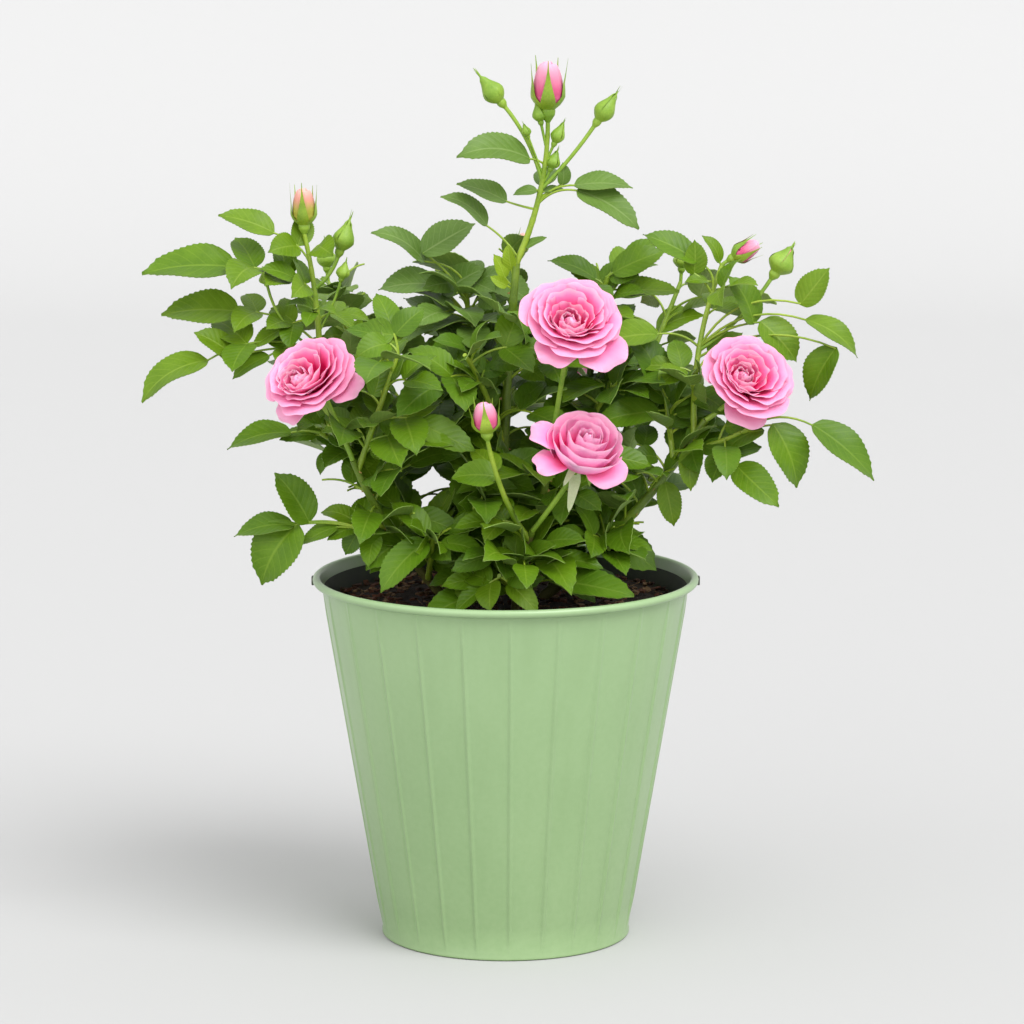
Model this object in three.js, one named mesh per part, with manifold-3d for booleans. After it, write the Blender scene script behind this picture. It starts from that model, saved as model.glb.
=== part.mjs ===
// A potted patio rose: its canes, leafy shoots, open blooms and buds, rooted in the soil of a
// ribbed metal pot with a rolled rim. Millimetres, +Z up, origin in the middle of the pot's flat
// underside. Seen from the front, +X is to the right and +Y is away. Headings turn from +X
// towards +Y, so 180 is left and -90 is the front; a rise is the angle above the level.

import * as THREE from "three";
import Module from "manifold-3d";

const wasm = await Module();
wasm.setup();

// ---------------------------------------------------------------- sizes

const pot = {
  height: 237,
  rimRadius: 125,
  beadInnerRadius: 119.4,
  beadHeight: 4.6,
  wallTopRadius: 118.8,
  wallFootRadius: 80.1,
  wall: 1.1,
  footRadius: 79.6,
  chimeRadius: 80.8,
  chimeHeight: 3.2,
  ribs: 24,
  ribWidth: 2.6,
  ribHeight: 0.55,
  ribTurn: -88.2,
};

const soil = { top: 223, clear: 0.6, edgeDrop: 3, edgeWidth: 9, sides: 36 };

const gap = 0.3; // between a shoot and the cane that carries it, and under each cane's foot

const cane = { sides: 6, steps: 5, seat: 0.36 }; // seat: room round a cane inside what it carries

const stem = { sides: 4, steps: 3, radius: [2.2, 1.6], seed: 11, seedStep: 7 };

const leaf = {
  thick: 1.0,
  halfWidth: [0.29, 0.35], // of the length, for an end leaflet and for one to the side
  broadFrom: 40, // an end leaflet turned down by more than this is as broad as a side one
  fold: 0.3, // rise of each half, of its width
  arch: 0.3, // how far the midrib stands over its chord
  archTip: 2.2, // above 1, and larger for an arch nearer the tip
  root: 0.8, // height of the leaflet's root edge
  sunk: 2, // depth of the end leaflet's root in the rachis
  mid: 0.4, // where the leaflet is thickest
  egg: [[0.34, 1], [0.7, 0.8]], // places along the outline, and the share of the half width there
  kite: [[0.42, 1]],
  rachisRadius: 1.3,
  rachisTaper: 0.15,
  rachisSides: 3,
  clearOfRoot: 0.3, // share of the rachis, and of each leaflet, that may sit close to others
  sideTurn: 64, // between a side leaflet and the rachis
  guard: 0.8, // room kept on each side of a leaflet while it is tested
  tilt: 0.3, // how far each leaflet looks away from its shoot's way
  spread: 0.12, // of leaflet lengths
};

// Where the pairs of leaflets sit on a leaf's rachis, and their sizes beside the end leaflet.
const leafPlans = {
  1: [],
  2: [[0.64, 0.66]],
  3: [[0.68, 0.86]],
  4: [[0.45, 0.4], [0.8, 0.5]],
  5: [[0.42, 0.74], [0.83, 0.9]],
};

// The growth rule for the leaves that fill a shoot: each turns on from the last by a fixed
// angle and is a little smaller towards the shoot's tip.
const growth = {
  turn: 137.5,
  first: 0.08,
  last: 0.96,
  rise: 24,
  riseSpread: 22,
  reach: 32,
  reachSpread: 8,
  size: 50,
  sizeSpread: 5,
  tipSize: 0.82,
  turnSpread: 30,
  shootTurn: 40, // from one shoot's first leaf to the next shoot's
  leaflets: 3,
  droop: 30,
};

// ---------------------------------------------------------------- canes
// Each cane has its foot on the soil, its tip where it enters a shoot or a flower's stalk, the
// way it bends between them, and its radius at both ends.

const canes = {
  cane_centre: { foot: [-4, 2], tip: [7, 0, 440], bend: [-2, 0, 0], radius: [3.6, 2.5] },
  cane_left_low: { foot: [-38, -16], tip: [-97, -50, 320], bend: [-6, 0, 0], radius: [3.0, 2.0] },
  cane_left_tall: { foot: [-26, 4], tip: [-120, 12, 378], bend: [-14, 0, 0], radius: [3.4, 2.2] },
  cane_centre_bloom: { foot: [14, -22], tip: [31, -50, 343], bend: [0, 0, 0], radius: [3.0, 1.9] },
  cane_front: { foot: [6, -46], tip: [17, -70, 278], bend: [-2, 0, -2], radius: [2.8, 2.0] },
  cane_right: { foot: [24, -6], tip: [128, -25, 342], bend: [4, 0, -5], radius: [3.8, 2.3] },
  cane_right_rear: { foot: [16, 20], tip: [58, 40, 396], bend: [8, 0, 0], radius: [3.3, 2.1] },
  cane_left_rear: { foot: [-17, 24], tip: [-23, 34, 391], bend: [-8, 4, 0], radius: [3.3, 2.1] },
  cane_back_left: { foot: [-32, 30], tip: [-92, 92, 350], bend: [-6, 8, 0], radius: [3.2, 2.0] },
  cane_back: { foot: [-2, 44], tip: [2, 112, 368], bend: [0, 12, 0], radius: [3.2, 2.0] },
  cane_back_right: { foot: [30, 32], tip: [92, 88, 356], bend: [6, 8, 0], radius: [3.2, 2.0] },
};

// ---------------------------------------------------------------- shoots
// Each shoot grows from its cane, at a share of the cane's length where 1 is the tip, to a
// point. `leaves` are [place on the shoot, heading, rise, reach, leaflet length, leaf plan,
// droop, how far the leaflets turn down], `fill` is how many more the growth rule adds, `faces`
// is where the leaves look, and `buds` are [place, heading, rise, stalk, length, width, lean].

const shoots = {
  shoot_top: {
    cane: "cane_centre", at: 1, to: [27, 0, 531], bend: [5, 0, 0], fill: 0, faces: [-90, 48],
    leaves: [
      [0.03, 176, 46, 30, 36, 1, 14],
      [0.1, -10, 35, 3, 15, 1, 10],
      [0.38, 176, 15, 20, 36, 1, -4],
      [0.42, 0, 26, 27, 39, 1, 32, -1],
      [0.41, -6, 22, 28, 47, 1, 32, 18],
      [0.58, 200, 64, 17, 48, 1, 80],
      [0.5, 80, 20, 10, 30, 1, 0],
      [0.52, 190, -10, 3, 17, 1, 0],
      [0.5, 20, 5, 3, 15, 1, 0],
      [0.46, 10, 30, 18, 14, 1, 0, -60],
    ],
    buds: [
      [1, 88, 88, 1, 39, 22],
      [0.57, 183, 64, 54, 28, 14, 13],
      [0.52, 0, 50, 53, 28, 13, -6],
      [0.8, 190, 78, 16, 13, 7],
      [0.72, 0, 65, 12, 12, 7],
      [0.6, 10, 58, 9, 11, 7, -10],
      [0.62, 200, 68, 26, 8, 5],
    ],
  },
  shoot_left_tall: {
    cane: "cane_left_tall", at: 1, to: [-129.5, 15, 457], bend: [2, 0, 0], fill: 0, faces: [-90, 52],
    leaves: [
      [0.03, 188, -3, 73, 53, 2, 31],
      [0.1, 190, -12, 34, 30, 2, 20],
      [0.06, 188, -4, 55, 30, 1, 12, -48],
      [0.08, 176, 23, 57, 51, 4, 28],
      [0.43, 184, 25, 57, 64, 4, 31],
      [0.55, 176, 54, 45, 38, 2, 43],
      [0.3, 20, 10, 16, 24, 3, 30],
      [0.38, -100, 0, 14, 22, 3, 20],
      [0.3, 190, -12, 22, 26, 3, 20],
    ],
    buds: [
      [1, 180, 89, 1, 30, 17],
      [0.55, 0, 54, 26, 28, 14, -18],
      [0.2, -12, 66, 36, 15, 9, -8],
      [0.04, 184, 52, 54, 12, 9, -25],
    ],
  },
  shoot_left_side: {
    cane: "cane_left_tall", at: 0.6, to: [-119, -14, 332], bend: [0, -4, 0], fill: 1, faces: [-90, 50],
    leaves: [
      [1, 183, 1, 19, 41, 1, 16],
      [0.6, 240, -40, 10, 18, 1, 10],
      [0.4, -60, -10, 20, 34, 3, 20],
    ],
    buds: [],
  },
  shoot_left_low: {
    cane: "cane_left_low", at: 0.52, to: [-90, -44, 274], bend: [0, 0, 2], fill: 0, faces: [-90, 45],
    leaves: [
      [1, 182, 4, 46, 38, 1, 15],
      [1, 182, 5, 43, 46, 1, 15, 50],
      [1, 182, 9, 36, 38, 1, 15, -62],
      [1, 182, 6, 18, 26, 1, 10, 22],
      [1, 182, 0, 3, 20, 1, 0, 60],
      [0.5, -100, -40, 9, 26, 1, 0],
      [0.9, 150, 20, 8, 28, 3, 10],
    ],
    buds: [],
  },
  shoot_front_low: {
    cane: "cane_left_low", at: 0.15, to: [-46, -62, 272], bend: [0, -4, 0], fill: 1, faces: [-90, 42],
    leaves: [
      [1, 205, -20, 5, 45, 1, 25],
      [0.9, 150, 45, 6, 33, 1, 10],
      [0.88, -14, 5, 6, 32, 1, 20],
    ],
    buds: [],
  },
  shoot_left_body: {
    cane: "cane_left_low", at: 0.92, to: [-68, -48, 388], bend: [0, 0, 0], fill: 4, faces: [-100, 45],
    leaves: [
      [0.25, -16, 14, 20, 40, 3, 20],
      [1, 160, 40, 12, 30, 3, 30],
      [1, 120, 62, 18, 30, 3, 20],
    ],
    buds: [],
  },
  shoot_left_centre: {
    cane: "cane_left_rear", at: 1, to: [-26, 30, 420], bend: [0, 0, 0], fill: 2, faces: [-90, 45],
    leaves: [
      [0.42, 186, 52, 45, 40, 1, 60, -41],
      [0.52, 186, 52, 47, 41, 1, 20, -118],
      [0.3, 186, 48, 30, 40, 1, 10, 42],
      [0.22, 186, 49, 25, 35, 1, 10, -110],
      [1, 10, 30, 10, 24, 3, 20],
      [0.2, -84, 0, 22, 40, 3, 20],
      [0.12, 220, 4, 26, 40, 3, 20],
      [0.9, 150, 20, 8, 22, 1, 10],
    ],
    buds: [],
  },
  shoot_body_left: {
    cane: "cane_left_rear", at: 0.5, to: [-72, -8, 352], bend: [0, 0, 6], fill: 5, faces: [-100, 45],
    leaves: [],
    buds: [],
  },
  shoot_body_front: {
    cane: "cane_centre", at: 0.45, to: [-26, -38, 386], bend: [0, 0, 6], fill: 4, faces: [-90, 45],
    leaves: [],
    buds: [],
  },
  shoot_body_low: {
    cane: "cane_centre", at: 0.2, to: [-20, -44, 288], bend: [0, 0, 6], fill: 5, faces: [-90, 50],
    leaves: [],
    buds: [],
  },
  shoot_body_right: {
    cane: "cane_right_rear", at: 0.5, to: [72, 0, 362], bend: [0, 0, 6], fill: 4, faces: [-80, 45],
    leaves: [],
    buds: [],
  },
  shoot_right_centre: {
    cane: "cane_right_rear", at: 1, to: [66, 34, 427], bend: [0, 0, 0], fill: 1, faces: [-90, 45],
    leaves: [
      [0.78, 178, 40, 8, 36, 1, 20],
      [1, 0, 34, 5, 38, 1, 12],
      [0.7, -12, 5, 10, 42, 1, 5],
      [0.2, -100, 0, 24, 40, 3, 20],
      [0.1, -64, -16, 20, 34, 3, 20],
    ],
    buds: [],
  },
  shoot_front_bud: {
    cane: "cane_front", at: 0.9, to: [-11, -85, 337], bend: [-2, 0, -5], fill: 0, faces: [-90, 45],
    leaves: [
      [0.2, 175, 10, 14, 28, 3, 20],
    ],
    buds: [[1, 190, 84, 2, 25, 18]],
  },
  shoot_front_foot: {
    cane: "cane_front", at: 0.12, to: [-4, -74, 250], bend: [0, 0, 2], fill: 0, faces: [-90, 50],
    leaves: [
      [0.9, 188, -30, 10, 28, 3, 10],
      [0.95, -30, -30, 8, 28, 1, 10],
    ],
    buds: [],
  },
  shoot_right_tall: {
    cane: "cane_right", at: 0.92, to: [139, 12, 437], bend: [-6, 0, 0], fill: 1, faces: [-90, 50],
    leaves: [
      [0.52, -4, 15, 71, 42, 1, 37, 18],
      [0.52, -4, 24, 71, 32, 1, 44, -66],
      [0.46, -8, 5, 89, 37, 1, 30, 93],
      [0.52, -4, 23, 43, 36, 1, 20, 52],
      [0.52, -4, 25, 38, 34, 1, 20, -112],
      [1, 180, 57, 3, 20, 1, 0],
      [0.83, 180, 66, 24, 38, 1, 48],
      [0.83, 180, 50, 18, 24, 1, 20, -60],
      [0.7, 40, 20, 14, 24, 3, 20],
      [0.36, 175, 20, 14, 28, 3, 20],
      [0.9, 200, 10, 6, 16, 1, 10],
    ],
    buds: [
      [1, 0, 38, 5, 24, 14, 8],
      [0.5, 10, 44, 66, 27, 17, -12],
    ],
  },
  shoot_right_mid: {
    cane: "cane_right", at: 0.78, to: [103, -6, 354], bend: [0, 0, 0], fill: 2, faces: [-90, 42],
    leaves: [
      [1, 160, 64, 6, 46, 1, 8],
      [0.8, 190, 0, 6, 44, 1, 10],
      [0.7, 10, 20, 6, 34, 1, 10],
    ],
    buds: [],
  },
  shoot_right_low: {
    cane: "cane_right", at: 0.86, to: [150, -38, 336], bend: [0, 0, -2], fill: 0, faces: [-90, 46],
    leaves: [
      [1, -2, 6, 46, 57, 1, 38, 14],
      [1, -2, 14, 21, 44, 1, 10, 73],
      [1, -2, 5, 14, 32, 1, 0, 152],
      [0.28, -42, -17, 31, 40, 2, 16],
      [0.7, -90, -10, 14, 34, 1, 20],
    ],
    buds: [],
  },
  shoot_right_foot: {
    cane: "cane_right", at: 0.3, to: [66, -46, 262], bend: [0, 0, 4], fill: 2, faces: [-90, 46],
    leaves: [
      [0.95, 50, 24, 6, 30, 3, 20],
      [0.5, -70, -10, 12, 32, 1, 10],
    ],
    buds: [],
  },
  shoot_back_left: {
    cane: "cane_back_left", at: 1, to: [-118, 112, 414], bend: [0, 0, 0], fill: 4, faces: [120, 45],
    leaves: [],
    buds: [[1, 130, 84, 6, 22, 13]],
  },
  shoot_back: {
    cane: "cane_back", at: 1, to: [6, 134, 436], bend: [0, 0, 0], fill: 4, faces: [90, 45],
    leaves: [],
    buds: [[1, 90, 84, 6, 22, 13]],
  },
  shoot_back_right: {
    cane: "cane_back_right", at: 1, to: [116, 110, 414], bend: [0, 0, 0], fill: 4, faces: [60, 45],
    leaves: [],
    buds: [[1, 50, 84, 6, 20, 12]],
  },
  shoot_back_low_left: {
    cane: "cane_back_left", at: 0.35, to: [-100, 74, 282], bend: [0, 0, 4], fill: 4, faces: [140, 50],
    leaves: [],
    buds: [],
  },
  shoot_back_low: {
    cane: "cane_back", at: 0.3, to: [-14, 118, 284], bend: [0, 0, 4], fill: 4, faces: [90, 50],
    leaves: [],
    buds: [],
  },
  shoot_back_low_right: {
    cane: "cane_back_right", at: 0.35, to: [104, 70, 286], bend: [0, 0, 4], fill: 4, faces: [40, 50],
    leaves: [],
    buds: [],
  },
};

// ---------------------------------------------------------------- blooms
// Each bloom's stalk rises from its cane's tip, or from its side, to the flower's base; the
// flower faces a heading and a pitch.

const blooms = {
  bloom_left: { cane: "cane_left_low", at: 1, base: [-115, -58, 364], faces: [-125, 42], radius: 32 },
  bloom_centre: { cane: "cane_centre_bloom", at: 1, base: [40, -63, 400], faces: [-82, 46], radius: 33 },
  bloom_front: { cane: "cane_front", at: 1, base: [42, -87, 321], faces: [-70, 52], radius: 28 },
  bloom_right: { cane: "cane_right", at: 1, base: [149, -31, 360], faces: [-68, 40], radius: 32 },
  bloom_back: { cane: "cane_back", at: 0.7, base: [42, 118, 352], faces: [80, 45], radius: 29 },
  bloom_back_left: { cane: "cane_back_left", at: 0.8, base: [-122, 100, 328], faces: [130, 45], radius: 26 },
};

const flower = {
  sides: 12,
  stalkRadius: 1.7,
  stalkSides: 5,
  stalkBend: 0.06, // of the stalk's length
  stalkDip: 3, // how far the stalk swings in under the flower
  hip: [[1.7, -2], [4.6, 3.6], [4.1, 9]], // radius and height
  seatDepth: 2, // of the petals in the hip
  ruffles: 5,
  ruffle: 0.06, // of the radius
  ruffleTurn: 1.9, // from one ring to the next
  // Rings from the hip outwards and in again over the petals' edges: radius, height, of the
  // flower's radius.
  rings: [
    [0.12, 0.02], [0.64, 0.18], [1, 0.43], [0.79, 0.5], [0.74, 0.73], [0.5, 0.66], [0.42, 0.86],
    [0.14, 0.8],
  ],
};

const bud = {
  sides: 5,
  stalkRadius: 1.4,
  stalkSides: 3,
  longStalk: 12, // beyond this the stalk is drawn bent
  // The hip, the waist, the closed petals and the tip: radius of the width, height of the length.
  rings: [[0.14, -0.04], [0.25, 0.1], [0.24, 0.24], [0.5, 0.42], [0.42, 0.68], [0.1, 1]],
};

// ---------------------------------------------------------------- vectors and dice

const degrees = Math.PI / 180;
const up = new THREE.Vector3(0, 0, 1);

function vector([x, y, z]) {
  return new THREE.Vector3(x, y, z);
}

function direction(heading, rise) {
  const level = Math.cos(rise * degrees);
  const x = level * Math.cos(heading * degrees);
  const y = level * Math.sin(heading * degrees);
  return new THREE.Vector3(x, y, Math.sin(rise * degrees));
}

function moved(point, ...steps) {
  const out = point.clone();
  for (const [way, far] of steps) out.addScaledVector(way, far);
  return out;
}

// Any direction that is well away from an axis.
function aside(axis) {
  return Math.abs(axis.z) > 0.8 ? new THREE.Vector3(0, 1, 0) : up;
}

// Two directions square to an axis and to each other, turning the right-handed way round it.
function across(axis, hint = aside(axis)) {
  const first = new THREE.Vector3().crossVectors(hint, axis).normalize();
  const second = new THREE.Vector3().crossVectors(axis, first);
  return [first, second];
}

// The same run of numbers from 0 to 1 for the same seed.
function makeDice(seed) {
  let state = seed;
  return () => {
    state = (state * 1664525 + 1013904223) % 4294967296;
    return state / 4294967296;
  };
}

// A path from one point to another that stands off the straight line by `bend` at its middle.
function arc(from, to, bend) {
  const point = (t) => from.clone().lerp(to, t).addScaledVector(bend, 4 * t * (1 - t));
  const way = (t) => to.clone().sub(from).addScaledVector(bend, 4 - 8 * t).normalize();
  return { point, way };
}

// ---------------------------------------------------------------- solids

function solid(points, faces) {
  const vertProperties = new Float32Array(points.flatMap((p) => [p.x, p.y, p.z]));
  return new wasm.Manifold(new wasm.Mesh({ numProp: 3, vertProperties, triVerts: new Uint32Array(faces) }));
}

// A closed skin over a row of rings with equal counts of points, fanned shut at both ends.
function loft(rings) {
  const sides = rings[0].length;
  const faces = [];
  for (let ring = 0; ring + 1 < rings.length; ring++) {
    for (let side = 0; side < sides; side++) {
      const near = ring * sides + side;
      const next = ring * sides + ((side + 1) % sides);
      faces.push(near, next, next + sides, near, next + sides, near + sides);
    }
  }
  const last = (rings.length - 1) * sides;
  for (let side = 1; side + 1 < sides; side++) {
    faces.push(0, side + 1, side);
    faces.push(last, last + side, last + side + 1);
  }
  return solid(rings.flat(), faces);
}

function ring(centre, axis, radius, sides, ruffle = () => 1, hint = aside(axis)) {
  const [first, second] = across(axis, hint);
  const points = [];
  for (let side = 0; side < sides; side++) {
    const turn = (2 * Math.PI * side) / sides;
    const far = radius * ruffle(turn);
    points.push(moved(centre, [first, far * Math.cos(turn)], [second, far * Math.sin(turn)]));
  }
  return points;
}

function stations(steps) {
  return Array.from({ length: steps + 1 }, (_, step) => step / steps);
}

// A tapering limb along a path, cut level at its foot where `flatFoot` says so. Its rings, one
// at each station, keep the same start, square to the plane that the path bends in.
function limb(path, places, sides, radiusAt, flatFoot = false) {
  const bendAxis = new THREE.Vector3().crossVectors(path.way(0), path.way(1));
  const hint = bendAxis.length() > 0.001 ? bendAxis.normalize() : aside(path.way(0));
  const rings = [];
  for (const t of places) {
    const axis = flatFoot && t === 0 ? up : path.way(t);
    rings.push(ring(path.point(t), axis, radiusAt(t), sides, () => 1, hint));
  }
  return loft(rings);
}

// ---------------------------------------------------------------- pot and soil

function ringAt(radius, height, angles, rise = () => 0) {
  return angles.map((turn, index) => {
    const far = radius + rise(index);
    return new THREE.Vector3(far * Math.cos(turn), far * Math.sin(turn), height);
  });
}

function makePot() {
  const even = [];
  const ribbed = [];
  for (let index = 0; index < pot.ribs * 3; index++) {
    const rib = (2 * Math.PI * Math.floor(index / 3)) / pot.ribs + pot.ribTurn * degrees;
    const side = (index % 3) - 1;
    even.push(rib + (side * 2 * Math.PI) / (pot.ribs * 3));
    ribbed.push(rib + (side * pot.ribWidth) / (pot.wallFootRadius + pot.wallTopRadius));
  }
  const crest = (index) => (index % 3 === 1 ? pot.ribHeight : 0);
  const beadFoot = pot.height - pot.beadHeight;
  const innerFoot = pot.wallFootRadius - pot.wall;
  return loft([
    ringAt(pot.footRadius, 0, even),
    ringAt(pot.chimeRadius, pot.chimeHeight * 0.5, even),
    ringAt(pot.wallFootRadius, pot.chimeHeight, ribbed, crest),
    ringAt(pot.wallTopRadius - 0.2, beadFoot - 1, ribbed, crest),
    ringAt(pot.rimRadius - 1.2, beadFoot + 0.2, even),
    ringAt(pot.rimRadius, beadFoot + pot.beadHeight * 0.5, even),
    ringAt((pot.rimRadius + pot.beadInnerRadius) / 2, pot.height, even),
    ringAt(pot.wallTopRadius - pot.wall, beadFoot - 1, even),
    ringAt(innerFoot, pot.wall, even),
  ]);
}

function innerRadius(height) {
  const top = pot.height - pot.beadHeight - 1;
  const share = (height - pot.wall) / (top - pot.wall);
  return pot.wallFootRadius - pot.wall + share * (pot.wallTopRadius - pot.wallFootRadius);
}

function makeSoil() {
  const angles = Array.from({ length: soil.sides }, (_, side) => (2 * Math.PI * side) / soil.sides);
  const foot = pot.wall + gap;
  const edge = soil.top - soil.edgeDrop;
  return loft([
    ringAt(innerRadius(foot) - soil.clear, foot, angles),
    ringAt(innerRadius(edge) - soil.clear, edge, angles),
    ringAt(innerRadius(edge) - soil.edgeWidth, soil.top, angles),
  ]);
}

// ---------------------------------------------------------------- leaves

// A leaflet of a few faces, folded up along its midrib and arched over from root to tip, with a
// short upright edge for a root. Its outline is an egg with a point, or in the thick of the bush
// a kite.
function leaflet({ seat: root, along, face, length, outline, broad }, extra = 0) {
  const side = new THREE.Vector3().crossVectors(face, along);
  const place = (u, v, w) => moved(root, [along, u * length], [side, v * length], [face, w]);
  const arch = (u) => leaf.arch * length * (u - u ** leaf.archTip);
  const edge = (hand) => ([u, share]) => {
    const half = leaf.halfWidth[broad] * share;
    return place(u, hand * (half + extra / length), arch(u) + leaf.fold * half * length);
  };
  const rim = [...outline.map(edge(-1)), place(1, 0, 0), ...outline.map(edge(1)).reverse()];
  const lift = (height) => height / 2 + extra;
  const points = [
    place(0, 0, lift(leaf.root)), place(0, 0, -lift(leaf.root)),
    place(leaf.mid, 0, arch(leaf.mid) + lift(leaf.thick)),
    place(leaf.mid, 0, arch(leaf.mid) - lift(leaf.thick)),
    ...rim,
  ];
  const first = 4;
  const last = first + rim.length - 1;
  const faces = [2, 0, first, 2, last, 0, 3, first, 1, 3, 1, last, 0, 1, first, 0, last, 1];
  for (let index = first; index < last; index++) faces.push(2, index, index + 1, 3, index + 1, index);
  return solid(points, faces);
}

function boxOf(body) {
  const { min, max } = body.boundingBox();
  return new THREE.Box3(vector(min), vector(max));
}

// The plant so far: each node with its solid and the parts that it was joined from.
const nodes = [];

function partOf(body) {
  return { body, box: boxOf(body) };
}

function meets(part, other) {
  return part.box.intersectsBox(other.box) && part.body.intersect(other.body).volume() > 0;
}

function isCrowded(body, others) {
  const part = partOf(body);
  return others.some((other) => meets(part, other));
}

function isFree(body, own) {
  return nodes.every((node) => node === own || !isCrowded(body, node.parts));
}

// A compound leaf on a shoot: a drooping three-sided rachis that carries pairs of leaflets and
// one at its end. Whatever would touch another node or the shoot's other leaves is left off.
function growLeaf(shoot, outline, [at, heading, rise, reach, size, count, droop, dip = 0]) {
  const { dice, faces } = shoot;
  const root = shoot.path.point(at);
  const end = moved(root, [direction(heading, rise), reach]);
  const bend = direction(heading, rise + 90).multiplyScalar((reach * droop * degrees) / 4);
  const path = arc(root, end, bend);
  const pairs = leafPlans[count];
  const taper = (t) => leaf.rachisRadius * (1 - leaf.rachisTaper * t);
  const rachis = limb(path, [0, ...pairs.map(([place]) => place), 1], leaf.rachisSides, taper);
  const outerPath = arc(path.point(leaf.clearOfRoot), end, new THREE.Vector3());
  const farPart = limb(outerPath, stations(1), leaf.rachisSides, () => leaf.rachisRadius + leaf.guard);
  if (!isFree(rachis, shoot) || isCrowded(farPart, shoot.parts.slice(1))) return;
  const grown = [];
  const sides = pairs.flatMap(([place, share]) => [[place, share, 1], [place, share, -1]]);
  for (const [place, share, hand] of [[1, 1, 0], ...sides]) {
    const forward = direction(heading, Math.asin(path.way(place).z) / degrees - dip);
    const tilt = direction(360 * dice(), 90 * dice()).multiplyScalar(leaf.tilt);
    const face = direction(...faces).add(tilt);
    face.addScaledVector(forward, -face.dot(forward)).normalize();
    const along = forward.clone().applyAxisAngle(face, hand * leaf.sideTurn * degrees);
    const length = size * share * (1 + leaf.spread * (dice() - 0.5));
    const seat = moved(path.point(place), [forward, place === 1 ? -leaf.sunk : 0]);
    const broad = hand !== 0 || Math.abs(dip) > leaf.broadFrom ? 1 : 0;
    const shape = { seat, along, face, length, outline, broad };
    const outer = { ...shape, seat: moved(seat, [along, length * leaf.clearOfRoot]) };
    outer.length = length * (1 - leaf.clearOfRoot);
    if (!isFree(leaflet(shape, leaf.guard), shoot)) continue;
    if (isCrowded(leaflet(outer), [...shoot.parts.slice(1), ...grown])) continue;
    grown.push(partOf(leaflet(shape)));
  }
  if (!grown.length) return;
  shoot.body = grown.reduce((whole, part) => whole.add(part.body), shoot.body.add(rachis));
  shoot.parts.push(...grown, partOf(rachis));
}

// ---------------------------------------------------------------- buds and blooms

function growBud(shoot, [at, heading, rise, stalk, length, width, lean = 0]) {
  const root = shoot.path.point(at);
  const top = moved(root, [direction(heading, rise), stalk]);
  const bend = direction(heading, rise + 90).multiplyScalar((stalk * Math.tan(lean * degrees)) / 4);
  const path = arc(root, top, bend);
  const way = path.way(1);
  const head = loft(bud.rings.map(([radius, height]) =>
    ring(moved(top, [way, height * length]), way, radius * width, bud.sides)));
  const steps = stalk > bud.longStalk ? 2 : 1;
  const neck = limb(path, stations(steps), bud.stalkSides, () => bud.stalkRadius);
  shoot.body = shoot.body.add(neck).add(head);
  shoot.parts.push(partOf(head), partOf(neck));
}

function makeBloom({ cane: carrier, at, base, faces, radius }) {
  const foot = canePaths[carrier].point(at);
  const axis = direction(...faces);
  const top = vector(base);
  const bend = top.clone().sub(foot).multiplyScalar(flower.stalkBend);
  bend.addScaledVector(axis, -flower.stalkDip);
  const stalk = limb(arc(foot, top, bend), stations(3), flower.stalkSides, () => flower.stalkRadius);
  const hip = loft(flower.hip.map(([far, high]) =>
    ring(moved(top, [axis, high]), axis, far, flower.stalkSides)));
  const seat = moved(top, [axis, flower.hip.at(-1)[1] - flower.seatDepth]);
  const head = loft(flower.rings.map(([far, high], index) => {
    const ruffle = (turn) =>
      1 + flower.ruffle * Math.cos(flower.ruffles * turn + index * flower.ruffleTurn);
    return ring(moved(seat, [axis, high * radius]), axis, far * radius, flower.sides, ruffle);
  }));
  return seatOnCane(stalk, carrier).add(hip).add(head);
}

// ---------------------------------------------------------------- the plant

const canePaths = {};
for (const [name, { foot, tip, bend }] of Object.entries(canes)) {
  canePaths[name] = arc(vector([...foot, soil.top + gap]), vector(tip), vector(bend));
}

function caneRadius(name, t) {
  const [thick, thin] = canes[name].radius;
  return thick + (thin - thick) * t;
}

// Cuts a shoot or a flower's stalk off just outside the skin of the cane that carries it.
function seatOnCane(body, name) {
  const path = canePaths[name];
  const grown = limb(path, stations(cane.steps), cane.sides, (t) => caneRadius(name, t) + cane.seat);
  const tip = path.point(1);
  const beyondTip = arc(moved(tip, [path.way(1), -1]), moved(tip, [path.way(1), gap]), new THREE.Vector3());
  const cap = limb(beyondTip, stations(1), cane.sides, () => caneRadius(name, 1) + cane.seat);
  return largest(body.subtract(grown).subtract(cap));
}

function largest(body) {
  return body.decompose().reduce((best, part) => (part.volume() > best.volume() ? part : best));
}

function addNode(name, body) {
  const node = { name, body, parts: [partOf(body)] };
  nodes.push(node);
  return node;
}

addNode("pot", makePot());
addNode("soil", makeSoil());
for (const name of Object.keys(canes)) {
  addNode(name, limb(canePaths[name], stations(cane.steps), cane.sides, (t) => caneRadius(name, t), true));
}
for (const [name, bloom] of Object.entries(blooms)) addNode(name, makeBloom(bloom));

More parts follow.
